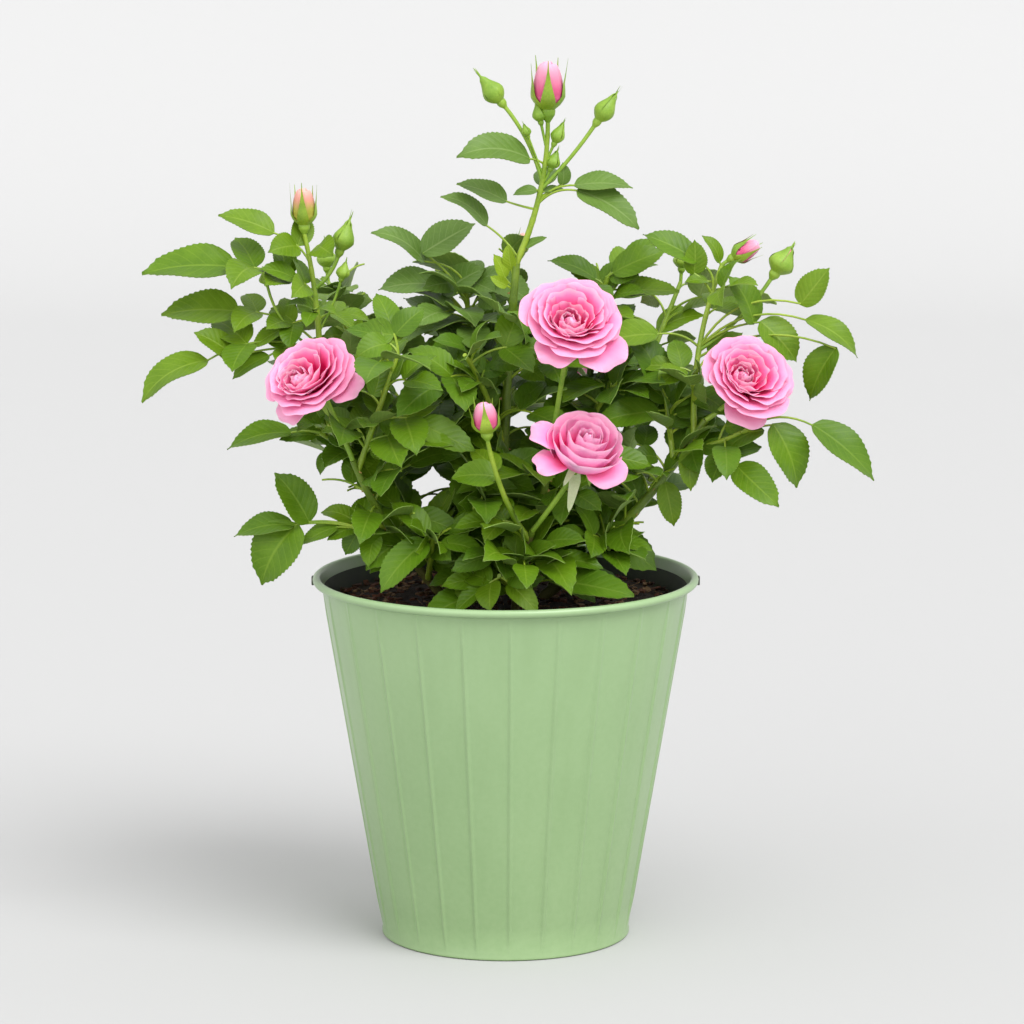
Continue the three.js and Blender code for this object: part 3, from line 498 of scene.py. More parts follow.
shoots = {
    "shoot_top": newShoot("cane_centre", 1, (27, 0, 531), (5, 0, 0), 0, (-90, 48), "pale", [
        (0.03, 176, 46, 30, 36, 1, 14), (0.1, -10, 35, 3, 15, 1, 10), (0.38, 176, 15, 20, 36, 1, -4),
        (0.42, 0, 26, 27, 39, 1, 32, -1), (0.41, -6, 20, 28, 47, 1, 34, 21), (0.57, 200, 60, 18, 50, 1, 86),
        (0.5, 80, 20, 10, 30, 1, 0), (0.52, 190, -10, 3, 17, 1, 0), (0.5, 20, 5, 3, 15, 1, 0),
        (0.46, 10, 30, 18, 14, 1, 0, -60),
    ], [
        (1, 88, 88, 1, 39, 22, 0.8, 0), (0.57, 183, 64, 54, 28, 14, 0.1, 13),
        (0.52, 0, 50, 53, 28, 13, 0.1, -6), (0.8, 190, 78, 16, 17, 9, 0.1, 0), (0.7, 0, 66, 12, 19, 9, 0.1, 0),
        (0.56, 10, 58, 9, 16, 9.5, 0.1, -10), (0.62, 200, 68, 26, 11, 6, 0.1, 0),
    ]),
    "shoot_left_tall": newShoot("cane_left_tall", 1, (-129.5, 15, 457), (2, 0, 0), 0, (-90, 52), "bright", [
        (0.03, 188, -3, 73, 53, 2, 31), (0.1, 190, -12, 34, 30, 2, 20), (0.06, 188, -4, 55, 30, 1, 12, -48),
        (0.08, 176, 23, 57, 51, 4, 28), (0.43, 184, 25, 57, 64, 4, 31), (0.55, 176, 54, 45, 38, 2, 43),
        (0.3, 20, 10, 16, 24, 3, 30), (0.38, -100, 0, 14, 22, 3, 20), (0.3, 190, -12, 22, 26, 3, 20),
    ], [
        (1, 180, 89, 1, 30, 17, 0.5, 0), (0.55, 0, 54, 26, 28, 14, 0.1, -18),
        (0.2, -12, 66, 36, 15, 9, 0.1, -8), (0.04, 184, 52, 54, 12, 9, 0.4, -25),
    ]),
    "shoot_left_side": newShoot("cane_left_tall", 0.6, (-119, -14, 332), (0, -4, 0), 1, (-90, 50), "deep", [
        (1, 183, 1, 19, 41, 1, 16), (0.6, 240, -40, 10, 18, 1, 10), (0.4, -60, -10, 20, 34, 3, 20),
    ]),
    "shoot_left_low": newShoot("cane_left_low", 0.52, (-90, -44, 274), (0, 0, 2), 0, (-90, 45), "middle", [
        (1, 182, 4, 46, 38, 1, 15), (1, 182, 5, 43, 46, 1, 15, 50), (1, 182, 9, 36, 38, 1, 15, -62),
        (1, 182, 6, 18, 26, 1, 10, 22), (1, 182, 0, 3, 20, 1, 0, 60), (0.5, -100, -40, 9, 26, 1, 0),
        (0.9, 150, 20, 8, 28, 3, 10),
    ]),
    "shoot_front_low": newShoot("cane_left_low", 0.15, (-46, -62, 272), (0, -4, 0), 1, (-90, 42), "middle", [
        (1, 205, -20, 5, 45, 1, 25), (0.9, 150, 45, 6, 33, 1, 10), (0.88, -14, 5, 6, 32, 1, 20),
    ]),
    "shoot_left_body": newShoot("cane_left_low", 0.92, (-68, -48, 388), (0, 0, 0), 4, (-100, 45), "middle", [
        (0.25, -16, 14, 20, 40, 3, 20), (1, 160, 40, 12, 30, 3, 30), (1, 120, 62, 18, 30, 3, 20),
    ]),
    "shoot_left_centre": newShoot("cane_left_rear", 1, (-26, 30, 420), (0, 0, 0), 2, (-90, 45), "pale", [
        (0.42, 186, 50, 45, 42, 1, 60, -26), (0.52, 186, 52, 47, 41, 1, 20, -118),
        (0.3, 186, 48, 30, 40, 1, 10, 42), (0.22, 186, 49, 25, 35, 1, 10, -110), (1, 10, 30, 10, 24, 3, 20),
        (0.2, -84, 0, 22, 40, 3, 20), (0.12, 220, 4, 26, 40, 3, 20), (0.9, 150, 20, 8, 22, 1, 10),
    ]),
    "shoot_body_left": newShoot("cane_left_rear", 0.5, (-72, -8, 352), (0, 0, 6), 5, (-100, 45), "deep"),
    "shoot_body_front": newShoot("cane_centre", 0.45, (-26, -38, 386), (0, 0, 6), 4, (-90, 45), "deep"),
    "shoot_body_low": newShoot("cane_centre", 0.2, (-20, -44, 288), (0, 0, 6), 5, (-90, 50), "deep"),
    "shoot_body_right": newShoot("cane_right_rear", 0.5, (72, 0, 362), (0, 0, 6), 4, (-80, 45), "deep"),
    "shoot_right_centre": newShoot("cane_right_rear", 1, (66, 34, 427), (0, 0, 0), 1, (-90, 45), "middle", [
        (0.78, 178, 40, 8, 36, 1, 20), (1, 0, 34, 5, 38, 1, 12), (0.7, -12, 5, 10, 42, 1, 5),
        (0.2, -100, 0, 24, 40, 3, 20), (0.1, -64, -16, 20, 34, 3, 20),
    ]),
    "shoot_front_bud": newShoot("cane_front", 0.9, (-11, -85, 337), (-2, 0, -5), 0, (-90, 45), "bright", [
        (0.2, 175, 10, 14, 28, 3, 20),
    ], [
        (1, 190, 84, 2, 25, 18, 0.9, 0),
    ]),
    "shoot_front_foot": newShoot("cane_front", 0.12, (-4, -74, 250), (0, 0, 2), 0, (-90, 50), "middle", [
        (0.9, 188, -30, 10, 28, 3, 10), (0.95, -30, -30, 8, 28, 1, 10),
    ]),
    "shoot_right_tall": newShoot("cane_right", 0.92, (139, 12, 437), (-6, 0, 0), 1, (-90, 50), "bright", [
        (0.52, -4, 15, 71, 42, 1, 37, 18), (0.52, -4, 24, 71, 32, 1, 44, -66), (0.46, -8, 5, 89, 37, 1, 30, 93),
        (0.52, -4, 23, 43, 36, 1, 20, 52), (0.52, -4, 25, 38, 34, 1, 20, -112), (1, 180, 57, 3, 20, 1, 0),
        (0.83, 180, 66, 24, 38, 1, 48), (0.83, 180, 50, 18, 24, 1, 20, -60), (0.7, 40, 20, 14, 24, 3, 20),
        (0.36, 175, 20, 14, 28, 3, 20), (0.9, 200, 10, 6, 16, 1, 10),
    ], [
        (1, 0, 38, 5, 24, 14, 0.8, 8), (0.5, 10, 44, 66, 27, 17, 0.35, -12),
    ]),
    "shoot_right_mid": newShoot("cane_right", 0.78, (103, -6, 354), (0, 0, 0), 2, (-90, 42), "deep", [
        (1, 160, 64, 6, 46, 1, 8), (0.8, 190, 0, 6, 44, 1, 10), (0.7, 10, 20, 6, 34, 1, 10),
    ]),
    "shoot_right_low": newShoot("cane_right", 0.86, (150, -38, 336), (0, 0, -2), 0, (-90, 46), "deep", [
        (1, -2, 6, 46, 57, 1, 38, 14), (1, -2, 14, 21, 44, 1, 10, 73), (1, -2, 5, 14, 32, 1, 0, 152),
        (0.28, -42, -17, 31, 40, 2, 16), (0.7, -90, -10, 14, 34, 1, 20),
    ]),
    "shoot_right_foot": newShoot("cane_right", 0.3, (66, -46, 262), (0, 0, 4), 2, (-90, 46), "middle", [
        (0.95, 50, 24, 6, 30, 3, 20), (0.5, -70, -10, 12, 32, 1, 10),
    ]),
    "shoot_back_left": newShoot("cane_back_left", 1, (-118, 112, 414), (0, 0, 0), 4, (120, 45), "bright", buds=[
        (1, 130, 84, 6, 22, 13, 0.4, 0),
    ]),
    "shoot_back": newShoot("cane_back", 1, (6, 134, 436), (0, 0, 0), 4, (90, 45), "middle", buds=[
        (0.8, 0, 70, 6, 18, 11, 0.6, 0),
    ]),
    "shoot_back_right": newShoot("cane_back_right", 1, (116, 110, 414), (0, 0, 0), 4, (60, 45), "bright", buds=[
        (1, 50, 84, 6, 20, 12, 0.1, 0),
    ]),
    "shoot_back_low_left": newShoot("cane_back_left", 0.35, (-100, 74, 282), (0, 0, 4), 4, (140, 50), "middle"),
    "shoot_back_low": newShoot("cane_back", 0.3, (-14, 118, 284), (0, 0, 4), 4, (90, 50), "bright"),
    "shoot_back_low_right": newShoot("cane_back_right", 0.35, (104, 70, 286), (0, 0, 4), 4, (40, 50), "middle"),
}
# guards are the outer petals that hang loose: turn from the right-hand side, reach, height, half angle
blooms = {
    "bloom_left": newBloom("cane_left_low", 1, (-115, -58, 364), (-125, 42), 32,
        [(-4, 1.16, 0.22, 26), (-110, 1.0, 0.16, 34)]
    ),
    "bloom_centre": newBloom("cane_centre_bloom", 1, (40, -63, 400), (-82, 46), 33,
        [(-50, 1.25, 0.2, 36), (-120, 1.08, 0.24, 34)]
    ),
    "bloom_front": newBloom("cane_front", 1, (45, -87, 320), (-70, 52), 28,
        [(156, 1.26, 0.62, 27), (196, 1.26, 0.34, 25), (-52, 1.12, 0.26, 44)],
        petals=22, cup=0.8, pale=True, heart=-60, hanging=[(200, -78, 26, 4.2)]
    ),
    "bloom_right": newBloom("cane_right", 1, (149, -31, 360), (-68, 40), 32, [(-104, 1.0, 0.12, 40)], heart=200),
    "bloom_back": newBloom("cane_back", 0.7, (42, 118, 352), (80, 45), 29, [(-60, 1.1, 0.15, 30)]),
    "bloom_back_left": newBloom("cane_back_left", 0.8, (-122, 100, 328), (130, 45), 26, [(-120, 1.1, 0.15, 30)]),
}
caneSprays = [
    ("cane_right", (-90, 45), "bright", (0.7, -20, -34, 3, 31, 1, 10, 34)),
    ("cane_right", (-90, 45), "bright", (0.92, -100, -50, 8, 31, 1, 20)),
    ("cane_right", (-80, 45), "middle", (0.5, 100, 20, 12, 30, 3, 10)),
    ("cane_left_tall", (-90, 45), "middle", (0.8, 150, 30, 14, 30, 3, 20)),
    ("cane_back", (90, 45), "middle", (0.86, 84, 26, 34, 46, 3, 24)),
    ("cane_back", (90, 45), "middle", (0.6, 96, 30, 40, 44, 3, 30)),
    ("cane_centre", (-70, 20), "young", (0.93, 180, 45, 9, 18, 1, -20)),
    ("cane_centre", (-110, 10), "young", (0.95, 176, 72, 7, 19, 1, -10)),
    ("cane_centre", (-90, 0), "young", (0.92, 190, 30, 6, 14, 1, 0)),
]
growth = {
    "turn": 137.5, "span": (0.08, 0.96), "rise": 24, "riseSpread": 22, "reach": 32, "reachSpread": 8,
    "size": 50, "sizeSpread": 5, "tipSize": 0.82, "turnSpread": 30, "leaflets": 3, "droop": 30, "shootTurn": 40,
}
leafPlans = {  # where the pairs of leaflets sit on a leaf's rachis, and their share of the end leaflet
    1: [], 2: [(0.64, 0.66)], 3: [(0.68, 0.86)], 4: [(0.45, 0.4), (0.8, 0.5)], 5: [(0.42, 0.74), (0.83, 0.9)],
}
rachis = {"radius": 0.72, "taper": 0.35, "sideTurn": 64, "tilt": 0.3, "spread": 0.12, "sunk": 1.0}
shootForm = {"seed": 11, "seedStep": 7, "radius": (2.1, 1.4)}

# places where one sees through the crown from the front: x, height, radius
windows = [
    (-52, 291, 17), (-107, 287, 17), (10, 339, 14), (76, 333, 12), (100, 318, 11), (138, 295, 13),
    (118, 262, 30), (-126, 310, 14), (24, 436, 16), (-81, 436, 15), (112, 430, 17), (98, 400, 17),
    (-31, 440, 10), (142, 262, 26), (-128, 262, 22), (-32, 417, 10), (60, 452, 16), (-25, 478, 26),
    (60, 490, 40), (-88, 476, 26), (-148, 352, 18), (160, 382, 14), (6, 318, 8), (128, 384, 8), (-66, 357, 10),
    (92, 276, 12), (-10, 452, 10), (94, 286, 10), (-69, 358, 11), (4, 344, 12), (93, 399, 11), (22, 448, 12),
]
finer = {
    "shootLeaves": 7, "shootSpan": (0.06, 0.86), "shootRise": (10, 60), "shootReach": (14, 28), "shootSize": (24, 34),
    "caneLeaves": 17, "caneFirst": 0.14, "caneRise": (5, 50), "caneReach": (20, 38), "caneSize": (26, 38),
    "apart": 11, "droop": 30, "low": 0.34, "lowSize": 1.32, "lowApart": 17,
}
clear = {"centre": 0.55, "radius": 0.95, "behind": 10}  # the room kept round each flower
cellSize, sightLift = 24, 0.173  # of the grid of leaflets; how far depth lifts a point in the front view

leafRecords = []  # group, root, along, face, length, tone, detail, broad or not
leafMiddles = {}
twigParts = []
bloomMiddles = []
for bloom in blooms.values():
    middle = np.array(bloom["base"], float) + direction(*bloom["faces"]) * bloom["radius"] * clear["centre"]
    bloomMiddles.append((middle, bloom["radius"] * clear["radius"]))


def hitsBloom(point, inFront):
    for centre, radius in bloomMiddles:
        if np.linalg.norm(point - centre) < radius:
            return True
        nearer = inFront and centre[1] < 0 and point[1] < centre[1] + clear["behind"]
        if nearer and np.hypot(point[0] - centre[0], point[2] - centre[2]) < radius:
            return True
    return False


def inWindow(point):  # seen from the front and a little above
    across, height = point[0], point[2] + sightLift * point[1]
    return any(hypot(across - x, height - z) < radius for x, z, radius in windows)


def growLeaf(group, path, faces, roll, tone, leaf, detail="fine", apart=0):
    at, heading, rise, reach, size, plan, droop = leaf[:7]
    dip = leaf[7] if len(leaf) > 7 else 0
    root = path.point(at)
    bend = direction(heading, rise + 90) * reach * radians(droop) / 4
    line = Arc(root, root + direction(heading, rise) * reach, bend)
    seats = [(1, 1, 0)] + [(place, share, hand) for place, share in leafPlans[plan] for hand in (1, -1)]
    grown = []
    for place, share, hand in seats:
        forward = direction(heading, degrees(asin(line.way(place)[2])) - dip)
        face = direction(*faces) + direction(360 * roll(), 90 * roll()) * rachis["tilt"]
        face = unit(face - forward * np.dot(face, forward))
        along = turned(forward, face, hand * rachis["sideTurn"])
        length = size * share * (1 + rachis["spread"] * (roll() - 0.5))
        seat = line.point(place) - forward * (rachis["sunk"] if place == 1 else 0)
        middle, tip = seat + along * length * 0.5, seat + along * length
        if hitsBloom(middle, apart > 0) or hitsBloom(tip, apart > 0):
            continue
        if detail == "plain" and any(inWindow(seat + along * length * part) for part in (0.5, 0.75, 1)):
            continue
        near = leafMiddles.setdefault(tuple((middle // cellSize).astype(int)), [])
        if any(np.linalg.norm(middle - other) < apart for other in near):
            continue
        grown.append((group, seat, along, face, length, tone, detail, hand != 0 or abs(dip) > 40))
        near.append(middle)
    if grown:
        leafRecords.extend(grown)
        tube = twigTube if reach > 20 else stalkTube
        twigParts.append(bentTube(tube, line, lambda t, a: rachis["radius"] * (1.25 - rachis["taper"] * t)))


def joints(t):  # a shoot thickens a little where its leaves grow
    return 1 + 0.1 * np.exp(-(((t * 5) % 1 - 0.5) / 0.07) ** 2)


shootPaths = {}
for order, (name, shoot) in enumerate(shoots.items()):
    cane, at = shoot["from"]
    shootPaths[name] = path = Arc(canePaths[cane].point(at), shoot["to"], shoot["bend"])
    span = (min(between(canes[cane][3], at), shootForm["radius"][0]), shootForm["radius"][1])
    twigParts.append(bentTube(shootTube, path, lambda t, a: between(span, t) * joints(t)))
    shoot["roll"] = makeDice(shootForm["seed"] + shootForm["seedStep"] * order)
    for leaf in shoot["leaves"]:
        growLeaf(name, path, shoot["faces"], shoot["roll"], shoot["tone"], leaf)
for cane, faces, tone, leaf in caneSprays:
    growLeaf(cane, canePaths[cane], faces, makeDice(700), tone, leaf)
for order, (name, shoot) in enumerate(shoots.items()):
    roll = shoot["roll"]
    for index in range(shoot["fill"]):
        at = between(growth["span"], (index + 0.5) / shoot["fill"])
        heading = order * growth["shootTurn"] + growth["turn"] * index + growth["turnSpread"] * (roll() - 0.5)
        rise, reach, size = (growth[k] + growth[k + "Spread"] * (2 * roll() - 1) for k in ("rise", "reach", "size"))
        size *= 1 + (growth["tipSize"] - 1) * at
        leaf = (at, heading, rise, reach, size * 0.9, growth["leaflets"], growth["droop"])
        growLeaf(name, shootPaths[name], shoot["faces"], roll, shoot["tone"], leaf, "plain")

# finer growth of the same rule: more leaves on each shoot, and on the canes inside the crown

bareShoots = {  # fewer there
    "shoot_top": 0, "shoot_left_tall": 3, "shoot_front_bud": 1, "shoot_left_low": 0, "shoot_front_foot": 2,
    "shoot_right_tall": 4, "shoot_right_low": 1,
}
for order, (name, shoot) in enumerate(shoots.items()):
    roll = makeDice(900 + 13 * order)
    extras = bareShoots.get(name, finer["shootLeaves"])
    for index in range(extras):
        at, heading = between(finer["shootSpan"], (index + roll()) / extras), growth["turn"] * index + 70 * order
        reach, size, rise = (between(finer[key], roll()) for key in ("shootReach", "shootSize", "shootRise"))
        leaf = (at, heading, rise, reach, size, 3 if roll() < 0.5 else 5, finer["droop"])
        growLeaf(name, shootPaths[name], shoot["faces"], roll, shoot["tone"], leaf, "plain", finer["apart"])
caneReach = {"cane_centre": 0.8, "cane_front": 0.8, "cane_left_low": 0.85, "cane_left_tall": 0.9, "cane_right": 0.8}
for order, (name, path) in enumerate(canePaths.items()):
    roll = makeDice(1300 + 17 * order)
    span = (finer["caneFirst"], caneReach.get(name, 0.95))
    for index in range(finer["caneLeaves"]):
        at = between(span, (index + roll()) / finer["caneLeaves"])
        heading = growth["turn"] * index + 50 * order
        reach, size = between(finer["caneReach"], roll()), between(finer["caneSize"], roll())
        look = (90 + 30 * roll(), 45) if path.end[1] > 60 else (-90 + 40 * (roll() - 0.5), 40 + 15 * roll())
        tone = ("deep", "dark", "middle", "middle")[int(roll() * 4)]
        rise, plan, apart = between(finer["caneRise"], roll()), 5 if roll() < 0.6 else 3, finer["apart"]
        if at < finer["low"]:  # fewer and larger leaves near the soil
            size, plan, apart = size * finer["lowSize"], 3, finer["lowApart"]
        leaf = (at, heading, rise, reach, size, plan, finer["droop"])
        growLeaf(name, path, look, roll, tone, leaf, "plain", apart)
print(f"{len(leafRecords)} leaflets grown")


def laid(part, along, face):
    return part["co"] @ np.array([along, np.cross(face, along), face])


def placeLeaflet(record, index):
    root, along, face, length, tone, detail, broad = record[1:]
    kinds = leafKinds[detail]
    kind, roll = kinds[(2 * index + (1 if broad else 0)) % len(kinds)], makeDice(77 + 5 * index)
    roll()  # a spare draw
    chance, shade = roll(), toneIndex[tone]
    if tone not in ("young", "pale"):  # some a tone darker, a few a tone lighter
        shade = min(4, max(1, shade + (1 if chance < 0.3 else -1 if chance > 0.85 else 0)))
    slot = np.where(kind["slot"] == 0, shade, toneIndex["under"])
    return moved(kind, root + laid(kind, along, face) * length, slot)


otherSide = {"shoot_front_low": "left", "shoot_body_left": "centre", "cane_left_rear": "centre"}


def sideOf(name):  # most names say it
    return otherSide.get(name) or next((side for side in ("back", "right", "left") if side in name), "centre")


for side in ("left", "centre", "right", "back"):
    parts = [placeLeaflet(record, index) for index, record in enumerate(leafRecords) if sideOf(record[0]) == side]
    replaced = [name for name in shoots if sideOf(name) == side]
    makePiece("leaves_" + side, parts, leafMaterials, replaced, 60)

# petals: sheets bent round the flower's own axis, from the hip out and up to a frilled rim

petalForm = {"across": 20, "along": 8, "thick": 0.35, "corner": 0.13, "notch": 0.04, "lap": 0.06, "frill": 0.02}


def petal(turn, rim, bulge, halfAngle, lap, frill, phase, rollOut, corner=petalForm["corner"]):
    def shape(u, s):
        notch = petalForm["notch"] * exp(-((s / 0.18) ** 2)) * (0.5 + 0.5 * sin(phase))
        t = u * (1 - corner * abs(s) ** 3.2 - notch)
        a, b, c = (1 - t) ** 2, 2 * t * (1 - t), t * t
        edge = max(0, t - 0.72) / 0.28
        r = a * 2.5 + b * bulge[0] + c * rim[0] + lap * s * t
        z = b * bulge[1] + c * rim[1]
        r += rollOut * edge**2 + frill * (0.6 * sin(4.2 * s + phase) + 0.7 * sin(10 * s + 2 * phase)) * u**4
        z += frill * 0.8 * cos(6 * s + 1.7 * phase) * u**4 - abs(rollOut) * 0.7 * edge**2
        angle = turn + s * halfAngle * (0.55 + 0.45 * sin(min(1, 1.3 * u) * pi / 2))
        return r * cos(angle), r * sin(angle), z

    return toArrays(bentSheet(petalForm["along"], petalForm["across"], shape, petalForm["thick"]))


def blade(length, halfWidth, curl):  # a sepal along +X, looking up
    def shape(u, s):
        half = halfWidth * max(0.05, (1 - u)) ** 0.5 * min(1, 0.55 + 2 * u)
        return length * u, s * half * (0.15 if u > 0.99 else 1), abs(s) * half * 0.35 + curl * length * u * u

    return toArrays(bentSheet(9, 2, shape, 0.5))


def frameOn(axis):
    axis = unit(axis)
    side = np.array([0.0, 0, 1]) if abs(axis[2]) < 0.9 else np.array([0.0, 1, 0])
    first = unit(np.cross(side, axis))
    return np.array([first, np.cross(axis, first), axis])


def onFrame(part, axes, seat, slot):
    return moved(part, part["co"] @ axes + seat, slot)


def bladeOn(part, turn, opening, seatRadius, lift):
    a, o = radians(turn), radians(opening)
    out, up = np.array([cos(a), sin(a), 0]), np.array([0, 0, 1])
    along, face = out * cos(o) + up * sin(o), up * cos(o) - out * sin(o)
    return laid(part, along, face) + out * seatRadius + up * lift


flower = {
    "petals": 34,
    "turn": 137.5,  # from each petal to the next
    "turnSpread": 16,
    "sizeSpread": 0.08,
    "guard": {"roll": 2.4, "frill": 0.03, "corner": 0.3, "bulge": 0.55},
    "seat": 7,  # from the stalk's end to the petals' roots
    "heart": -110,  # where the heart leans
    "lean": 0.24,
    "core": (0.15, 0.4, 0.67),  # radius, foot and top of what fills the heart
    "q": [0, 0.15, 0.3, 0.45, 0.6, 0.74, 0.87, 1],  # from the outer petals to the heart
    "open": {
        "rim": [1.0, 0.9, 0.78, 0.64, 0.49, 0.34, 0.2, 0.06],
        "height": [0.4, 0.52, 0.62, 0.68, 0.7, 0.7, 0.72, 0.72],
        "bulge": [0.56, 0.56, 0.52, 0.47, 0.42, 0.38, 0.31, 0.2],
        "bulgeHeight": [0.28, 0.38, 0.45, 0.5, 0.54, 0.56, 0.54, 0.48],
        "halfAngle": [44, 44, 46, 50, 56, 62, 74, 90],
        "roll": [2.4, 1.4, 0.6, 0.3, 0.1, 0, 0, 0],
    },
    "cup": {  # a flower that is not yet open
        "rim": [0.88, 0.82, 0.74, 0.62, 0.47, 0.33, 0.19, 0.06],
        "height": [0.76, 0.88, 0.97, 1.03, 1.06, 1.07, 1.07, 1.05],
        "halfAngle": [58, 60, 62, 66, 70, 76, 84, 90],
        "bulge": [0.84, 0.82, 0.76, 0.66, 0.54, 0.44, 0.34, 0.22],
        "bulgeHeight": [0.0, 0.08, 0.16, 0.28, 0.42, 0.54, 0.6, 0.62],
    },
    "hip": [(0, 0.35), (0.12, 0.8), (0.35, 1.0), (0.7, 0.92), (1, 0.9)],
    "hipSize": (4.4, 9.5),
    "stalk": 1.7,
    "stalkBend": 0.06,
    "stalkDip": 3,
    "sepal": (0.6, 3.0),
}


def latheAlong(tube, start, axis, length, profile, width, slot):
    heights, radii = np.array(profile).T
    return bentTube(tube, Arc(start, start + axis * length), lambda t, a: width * np.interp(t, heights, radii), slot)


roundTube, petalParts, sepalParts = unitTube(14, 16), [], []
for order, bloom in enumerate(blooms.values()):
    roll = makeDice(2100 + 31 * order)
    axes = frameOn(direction(*bloom["faces"]))
    axis, base, size, cup = axes[2], np.array(bloom["base"], float), bloom["radius"], bloom.get("cup", 0)
    seat, count = base + axis * flower["seat"], bloom.get("petals", flower["petals"])
    heart = radians(bloom.get("heart", flower["heart"]))
    heartWay = axes[0] * cos(heart) + axes[1] * sin(heart)
    for index in range(count):
        q = index / (count - 1)
        at = {key: np.interp(q, flower["q"], line) for key, line in flower["open"].items()}
        for key, line in flower["cup"].items():
            at[key] += cup * (np.interp(q, flower["q"], line) - at[key])
        vary = size * (1 + flower["sizeSpread"] * (roll() - 0.5))
        part = petal(
            radians(flower["turn"] * index + flower["turnSpread"] * (roll() - 0.5)),
            (vary * at["rim"] - at["roll"], vary * at["height"]),
            (size * at["bulge"], size * at["bulgeHeight"]),
            radians(at["halfAngle"] * (0.92 + 0.16 * roll())),
            size * petalForm["lap"],
            size * petalForm["frill"] * (0.6 + 0.8 * roll() + 0.6 * q) * (1 - 0.5 * cup),
            tau * roll(),
            at["roll"],
        )
        lean = flower["lean"] * size * min(1, max(0, (q - 0.5) / 0.25)) * (1 - cup)
        # the front flower's petals take the lighter copy of the petal colours, painted light on its shaded cup
        slot = 2 if bloom.get("pale") else 0 if q < 0.45 else 1
        petalParts.append(onFrame(part, axes, seat + heartWay * lean, slot))
    radius, low, high = (share * size for share in flower["core"])
    high += 0.32 * size * cup
    foot = seat + heartWay * flower["lean"] * size * (1 - cup)
    dome = [(0, 1), (0.6, 0.9), (0.85, 0.6), (1, 0.1)]
    petalParts.append(latheAlong(roundTube, foot + axis * low, axis, high - low, dome, radius, 1))
    guard = flower["guard"]
    for turn, rim, height, halfAngle in bloom["guards"]:
        reach, bulge = (size * rim - 2, size * height), (size * rim * guard["bulge"], size * (height + 0.04))
        look = (0, size * guard["frill"], tau * roll(), guard["roll"], guard["corner"])
        part = petal(radians(turn), reach, bulge, radians(halfAngle), *look)
        petalParts.append(onFrame(part, axes, seat, 0))
    for heading, rise, length, half in bloom.get("hanging", ()):
        strip, along, face = blade(length, half, 0.1), direction(heading, rise), direction(-90, 10)
        face = unit(face - along * np.dot(face, along))
        sepalParts.append(moved(strip, laid(strip, along, face) + base + along, 1))
    hipWidth, hipHeight = flower["hipSize"]
    sepalParts.append(latheAlong(roundTube, base, axis, hipHeight, flower["hip"], hipWidth, 0))
    cane, place = bloom["from"]
    foot = canePaths[cane].point(place)
    stalk = Arc(foot, base + axis, (base - foot) * flower["stalkBend"] - axis * flower["stalkDip"])
    sepalParts.append(bentTube(twigTube, stalk, lambda t, a: flower["stalk"] * (1 + 0.8 * np.maximum(0, t - 0.8))))
    leaf = blade(flower["sepal"][0] * size, flower["sepal"][1], -0.25)
    for index in range(5):
        co = bladeOn(leaf, 72 * index + 20 * roll(), -14 - 34 * roll(), 2.5, hipHeight - 1)
        sepalParts.append(onFrame({**leaf, "co": co}, axes, base, 1 if index % 2 else 0))
makePiece("bloom_petals", petalParts, [petalPink, petalHeart, petalPaintedLight], list(blooms), 80)
makePiece("bloom_sepals", sepalParts, [sepalGreen, sepalPale], (), 60)

# buds: an urn of a hip, a waist, and petals held in by five sepals with thin tips

bud = {
    "hip": [(0, 0.07), (0.05, 0.13), (0.12, 0.21), (0.19, 0.225), (0.25, 0.19), (0.3, 0.2)],
    "open": [
        (0.24, 0.16), (0.3, 0.34), (0.42, 0.46), (0.56, 0.455), (0.72, 0.41), (0.86, 0.33), (0.96, 0.22), (1, 0.1),
    ],
    "closed": [
        (0.24, 0.16), (0.31, 0.36), (0.43, 0.49), (0.55, 0.44), (0.66, 0.31), (0.76, 0.2), (0.84, 0.12), (0.9, 0.04),
    ],
    "hipTop": 0.3,  # of the bud's length, as the waist
    "waist": 0.24,
    "petals": 4,
    "sepals": 5,
    "sepalAt": [0, 0.2, 0.4, 0.6, 0.8, 1],
    "openSepal": [0.56, 0.44, 0.28, 0.14, 0.05, 0.02],
    "closedSepal": [0.62, 0.66, 0.55, 0.34, 0.1, 0.02],
    "stalk": 1.3,
}
budParts = []
